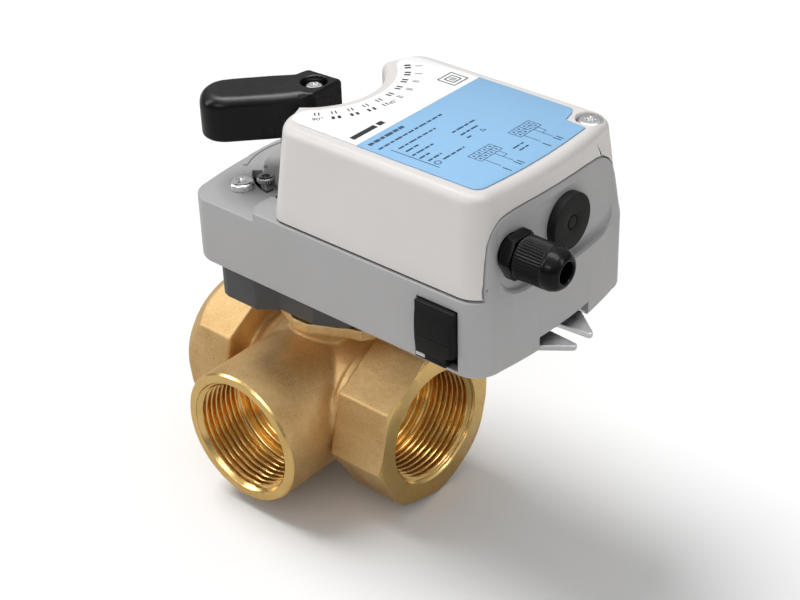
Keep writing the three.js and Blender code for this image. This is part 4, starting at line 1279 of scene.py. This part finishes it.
def build_dial_print():
    marks = [mark for k in range(10) for mark in dial_step(k)]
    marks.append(digits("90°", 23.9, -23.7, 2.6, 45))
    marks.append(digits("45°", 34.4, -0.9, 2.3, 90))
    # two plain bars in line
    for y0, y1 in ((-27.0, -16.4), (-15.4, -12.9)):
        marks.append(bar(40.8, y0, 40.8, y1, 2.0))
    # a target mark: two squares round three short lines
    for s in (3.4, 1.9):
        corners = [(CODE_X + i * s, CODE_Y + j * s) for i, j in ((-1, -1), (1, -1), (1, 1), (-1, 1))]
        for start, end in zip(corners, corners[1:] + corners[:1]):
            marks.append(bar(*start, *end, 0.38))
    for k in (-1, 0, 1):
        y = CODE_Y + k * 0.7
        marks.append(bar(CODE_X - 1.1, y, CODE_X + 1.1, y, 0.28))
    dial = merge(*marks)
    dial.name = "label_dial_print"
    finish(dial, "fixed", None, "label_film", INK)


# x, first y, last y and width of the dashed rules
RULES = [
    (47.6, -27.0, -11.5, 1.3), (51.6, -27.2, 1.6, 0.75), (56.0, -23.4, -6.6, 0.7),
    (58.8, -23.4, -17.4, 0.7), (61.9, -24.2, -14.8, 0.7), (64.7, -24.2, -19.2, 0.7),
    (67.6, -23.8, -17.9, 0.7), (70.4, -20.4, -10.8, 0.7), (61.9, -5.8, 5.5, 0.7),
    (64.9, -5.6, 2.6, 0.7), (67.5, -5.8, -3.1, 0.7), (82.35, -2.9, 2.0, 0.6),
    (84.5, -2.7, 2.2, 0.6),
]


def dashed_rules():
    """Rules broken into short dashes, as printed words look from afar."""
    dashes = []
    for x, y, y_end, w in RULES:
        k = 0
        while y < y_end - 0.4:
            step = (2.3, 1.5, 3.1, 1.9)[(k + int(x)) % 4]
            dashes.append(bar(x, y, x, min(y + step, y_end), w))
            y += step + 0.55
            k += 1
    return dashes


def printed_ring():
    def circle(r):
        return [(70.4 + x, -22.9 + y) for x, y in polygon(20, r)]

    ring = prism("ring", circle(1.15), FILM_Z1, PRINT_Z1)
    cut(ring, prism("ring_hole", circle(0.85), 119.0, 119.4))
    return ring


def wiring_table(y0):
    """A grid of two by four cells with leads on its +X side."""
    x0, w, h, line = 75.0, 10.0, 4.8, 0.2
    x1 = x0 + h
    bars = [bar(x0, y0 + w * k / 4, x1, y0 + w * k / 4, line) for k in range(5)]
    bars += [bar(x, y0, x, y0 + w, line) for x in (x0, x0 + h / 2, x1)]
    for k in range(4):
        for j in (0, 1):
            x, y = x0 + h * (0.25 + 0.5 * j), y0 + w * (k + 0.5) / 4
            bars.append(bar(x - 0.45, y, x + 0.45, y, 0.5))
    for share, length in ((0.14, 6.2), (0.62, 7.0), (0.82, 3.2)):
        bars.append(bar(x1, y0 + w * share, x1 + length, y0 + w * share, line))
    bars.append(bar(x1 + 3.2, y0 + w * 0.62, x1 + 3.2, y0 + w * 0.82, line))
    for k, share in enumerate((0.14, 0.62, 0.74)):
        y = y0 + w * share - 0.5
        bars.append(bar(x1 + 7.2 + 0.3 * k, y, x1 + 10.4, y, 0.42))
    return bars


def build_rules_print():
    marks = dashed_rules()
    marks.append(bar(54.6, -25.3, 72.8, -24.9, 0.28))
    marks.append(printed_ring())
    triangle = ((67.0, 0.9), (68.4, 2.0), (68.6, 0.4))
    for start, end in zip(triangle, triangle[1:] + triangle[:1]):
        marks.append(bar(*start, *end, 0.2))
    for y0 in (-14.8, 4.2):
        marks += wiring_table(y0)
    rules = merge(*marks)
    rules.name = "label_rules_print"
    finish(rules, "fixed", None, "label_film", INK_BLUE)


# ------------------------------------------------------------------ floor, light, camera (metres)
def build_stage():
    k = Shader("floor")
    clouds = k.ramp(k.noise(scale=3.0, detail=3), 0.3, 0.7)
    pale = k.mix(clouds, (0.85, 0.85, 0.85, 1), (0.87, 0.87, 0.87, 1))
    # painted reflection: glossy rays see the floor in a darker colour, as if black cards stood round it in a
    # studio
    glossy = k.node("LightPath").outputs["Is Glossy Ray"]
    k.set("Base Color", k.mix(glossy, pale, (0.45, 0.44, 0.42, 1)))
    k.set("Roughness", 0.7)
    k.set("Specular IOR Level", 0.15)
    k.set("Normal", k.bump(k.noise(scale=900, detail=2), 0.00002))
    n, half, z = 24, 3.0, CAD_LO.z - 0.00005
    ticks = [-half + 2 * half * i / n for i in range(n + 1)]
    verts = [(x, y, z) for y in ticks for x in ticks]
    row = n + 1
    faces = [(j * row + i, j * row + i + 1, (j + 1) * row + i + 1, (j + 1) * row + i)
             for j in range(n) for i in range(n)]
    me = bpy.data.meshes.new("floor")
    me.from_pydata(verts, [], faces)
    me.materials.append(k.material)
    link("floor", me)


def build_world():
    """Even light for matt surfaces; a dark-to-bright sky seen only in the shiny ones."""
    world = bpy.data.worlds.new("studio")
    SCENE.world = world
    k = Nodes(world)
    coords = k.node("TexCoord").outputs["Generated"]
    height = k.node("SeparateXYZ", {0: coords}).outputs["Z"]
    ramp = k.node("ValToRGB", {0: height})
    low, high = ramp.color_ramp.elements
    low.position, low.color = 0.0, (0.12, 0.12, 0.123, 1)
    high.position, high.color = 1.0, (0.85, 0.85, 0.86, 1)
    glossy = k.node("LightPath").outputs["Is Glossy Ray"]
    soft = k.node("Background", {"Color": (1, 1, 1, 1), "Strength": 0.53}).outputs[0]
    shiny = k.node("Background", {"Color": ramp.outputs[0], "Strength": 1.0}).outputs[0]
    mix = k.node("MixShader", {0: glossy, 1: soft, 2: shiny}).outputs[0]
    k.node("OutputWorld", {0: mix})


def aimed(name, data, position, heading):
    ob = link(name, data)
    ob.location = position
    ob.rotation_mode = "QUATERNION"
    ob.rotation_quaternion = heading.to_track_quat("-Z", "Y")
    return ob


def sun(name, source, strength, angle):
    data = bpy.data.lights.new(name, "SUN")
    data.energy, data.angle = strength, rad(angle)
    aimed(name, data, ORIGIN + Vector(source), -Vector(source)).visible_glossy = False


def soft_box(name, source, target, width, height, power):
    """A rectangular light that shows only in shiny surfaces."""
    data = bpy.data.lights.new(name, "AREA")
    data.shape, data.size, data.size_y = "RECTANGLE", width, height
    data.energy = power
    position = Vector(source) + ORIGIN
    box = aimed(name, data, position, Vector(target) + ORIGIN - position)
    box.visible_diffuse = False
    return box


def piece_group(name, *pieces):
    group = bpy.data.collections.new(name)
    for piece in pieces:
        group.objects.link(bpy.data.objects[piece])
    return group


def build_light():
    sun("key", (-0.55, -0.02, 1.0), strength=2.45, angle=32)
    sun("fill", (0.25, -1.0, 0.55), strength=0.12, angle=40)
    black = piece_group("black_pieces", "gland_nut_ribbed", "gland_body_hex",
                        "release_button_cap", "blanking_plug_disc")
    lever = piece_group("black_lever", "handle_lever")
    # overhead strips turned by strip_turn; the stronger ones light only the black pieces
    strip_turn = Quaternion((0, 0, 1), rad(47))
    for name, power, group in (
            ("strip", 6, None), ("strip_black", 24, black), ("strip_lever", 85, lever)):
        strip = soft_box(
            name, (0.02, 0.02, 0.95), (0.0, 0.0, 0.1), width=1.3, height=0.34, power=power)
        strip.rotation_quaternion = strip.rotation_quaternion @ strip_turn
        if group:
            strip.light_linking.receiver_collection = group
    # name, position, width, height, power
    for name, source, width, height, power in (
            ("box_left", (-1.0, -0.75, 0.75), 0.35, 0.9, 5),
            ("box_right", (1.15, 0.35, 0.6), 0.3, 0.8, 2.5),
            ("box_front", (0.15, -1.3, 0.9), 0.8, 0.25, 2.5)):
        soft_box(name, source, (0.03, 0, 0.03), width, height, power)


def build_camera():
    right = (0.75962284, 0.64975366, -0.02816594)
    up = (-0.33380508, 0.42668579, 0.84054352)
    back = (0.55816423, -0.62909412, 0.54101135)
    position = ORIGIN + Vector((345.844, -351.757, 348.425)) * MM
    data = bpy.data.cameras.new("camera")
    data.sensor_width, data.lens = 36, 75.8133
    data.clip_start, data.clip_end = 0.02, 50
    camera = link("camera", data)
    camera.matrix_world = axes(position, right, up, back)
    SCENE.camera = camera


# ------------------------------------------------------------------ build
dress_carried()
build_valve_body()
build_end_connector()
build_base()
build_cover()
for side_name, side_sign in SIDES.items():
    build_deck_screw(side_name, side_sign)
    build_end_stop(side_name, side_sign)
build_cover_screw()
build_handle_screw()
build_handle()
build_hub()
build_bottom_plate()
build_adapter()
build_gland_body()
build_gland_nut()
build_plug()
build_button()
build_label()
build_dial_print()
build_rules_print()
build_stage()
build_world()
build_light()
build_camera()
SCENE.view_settings.view_transform = "Standard"
SCENE.view_settings.look = "None"
SCENE.view_settings.exposure = 0
SCENE.view_settings.gamma = 1
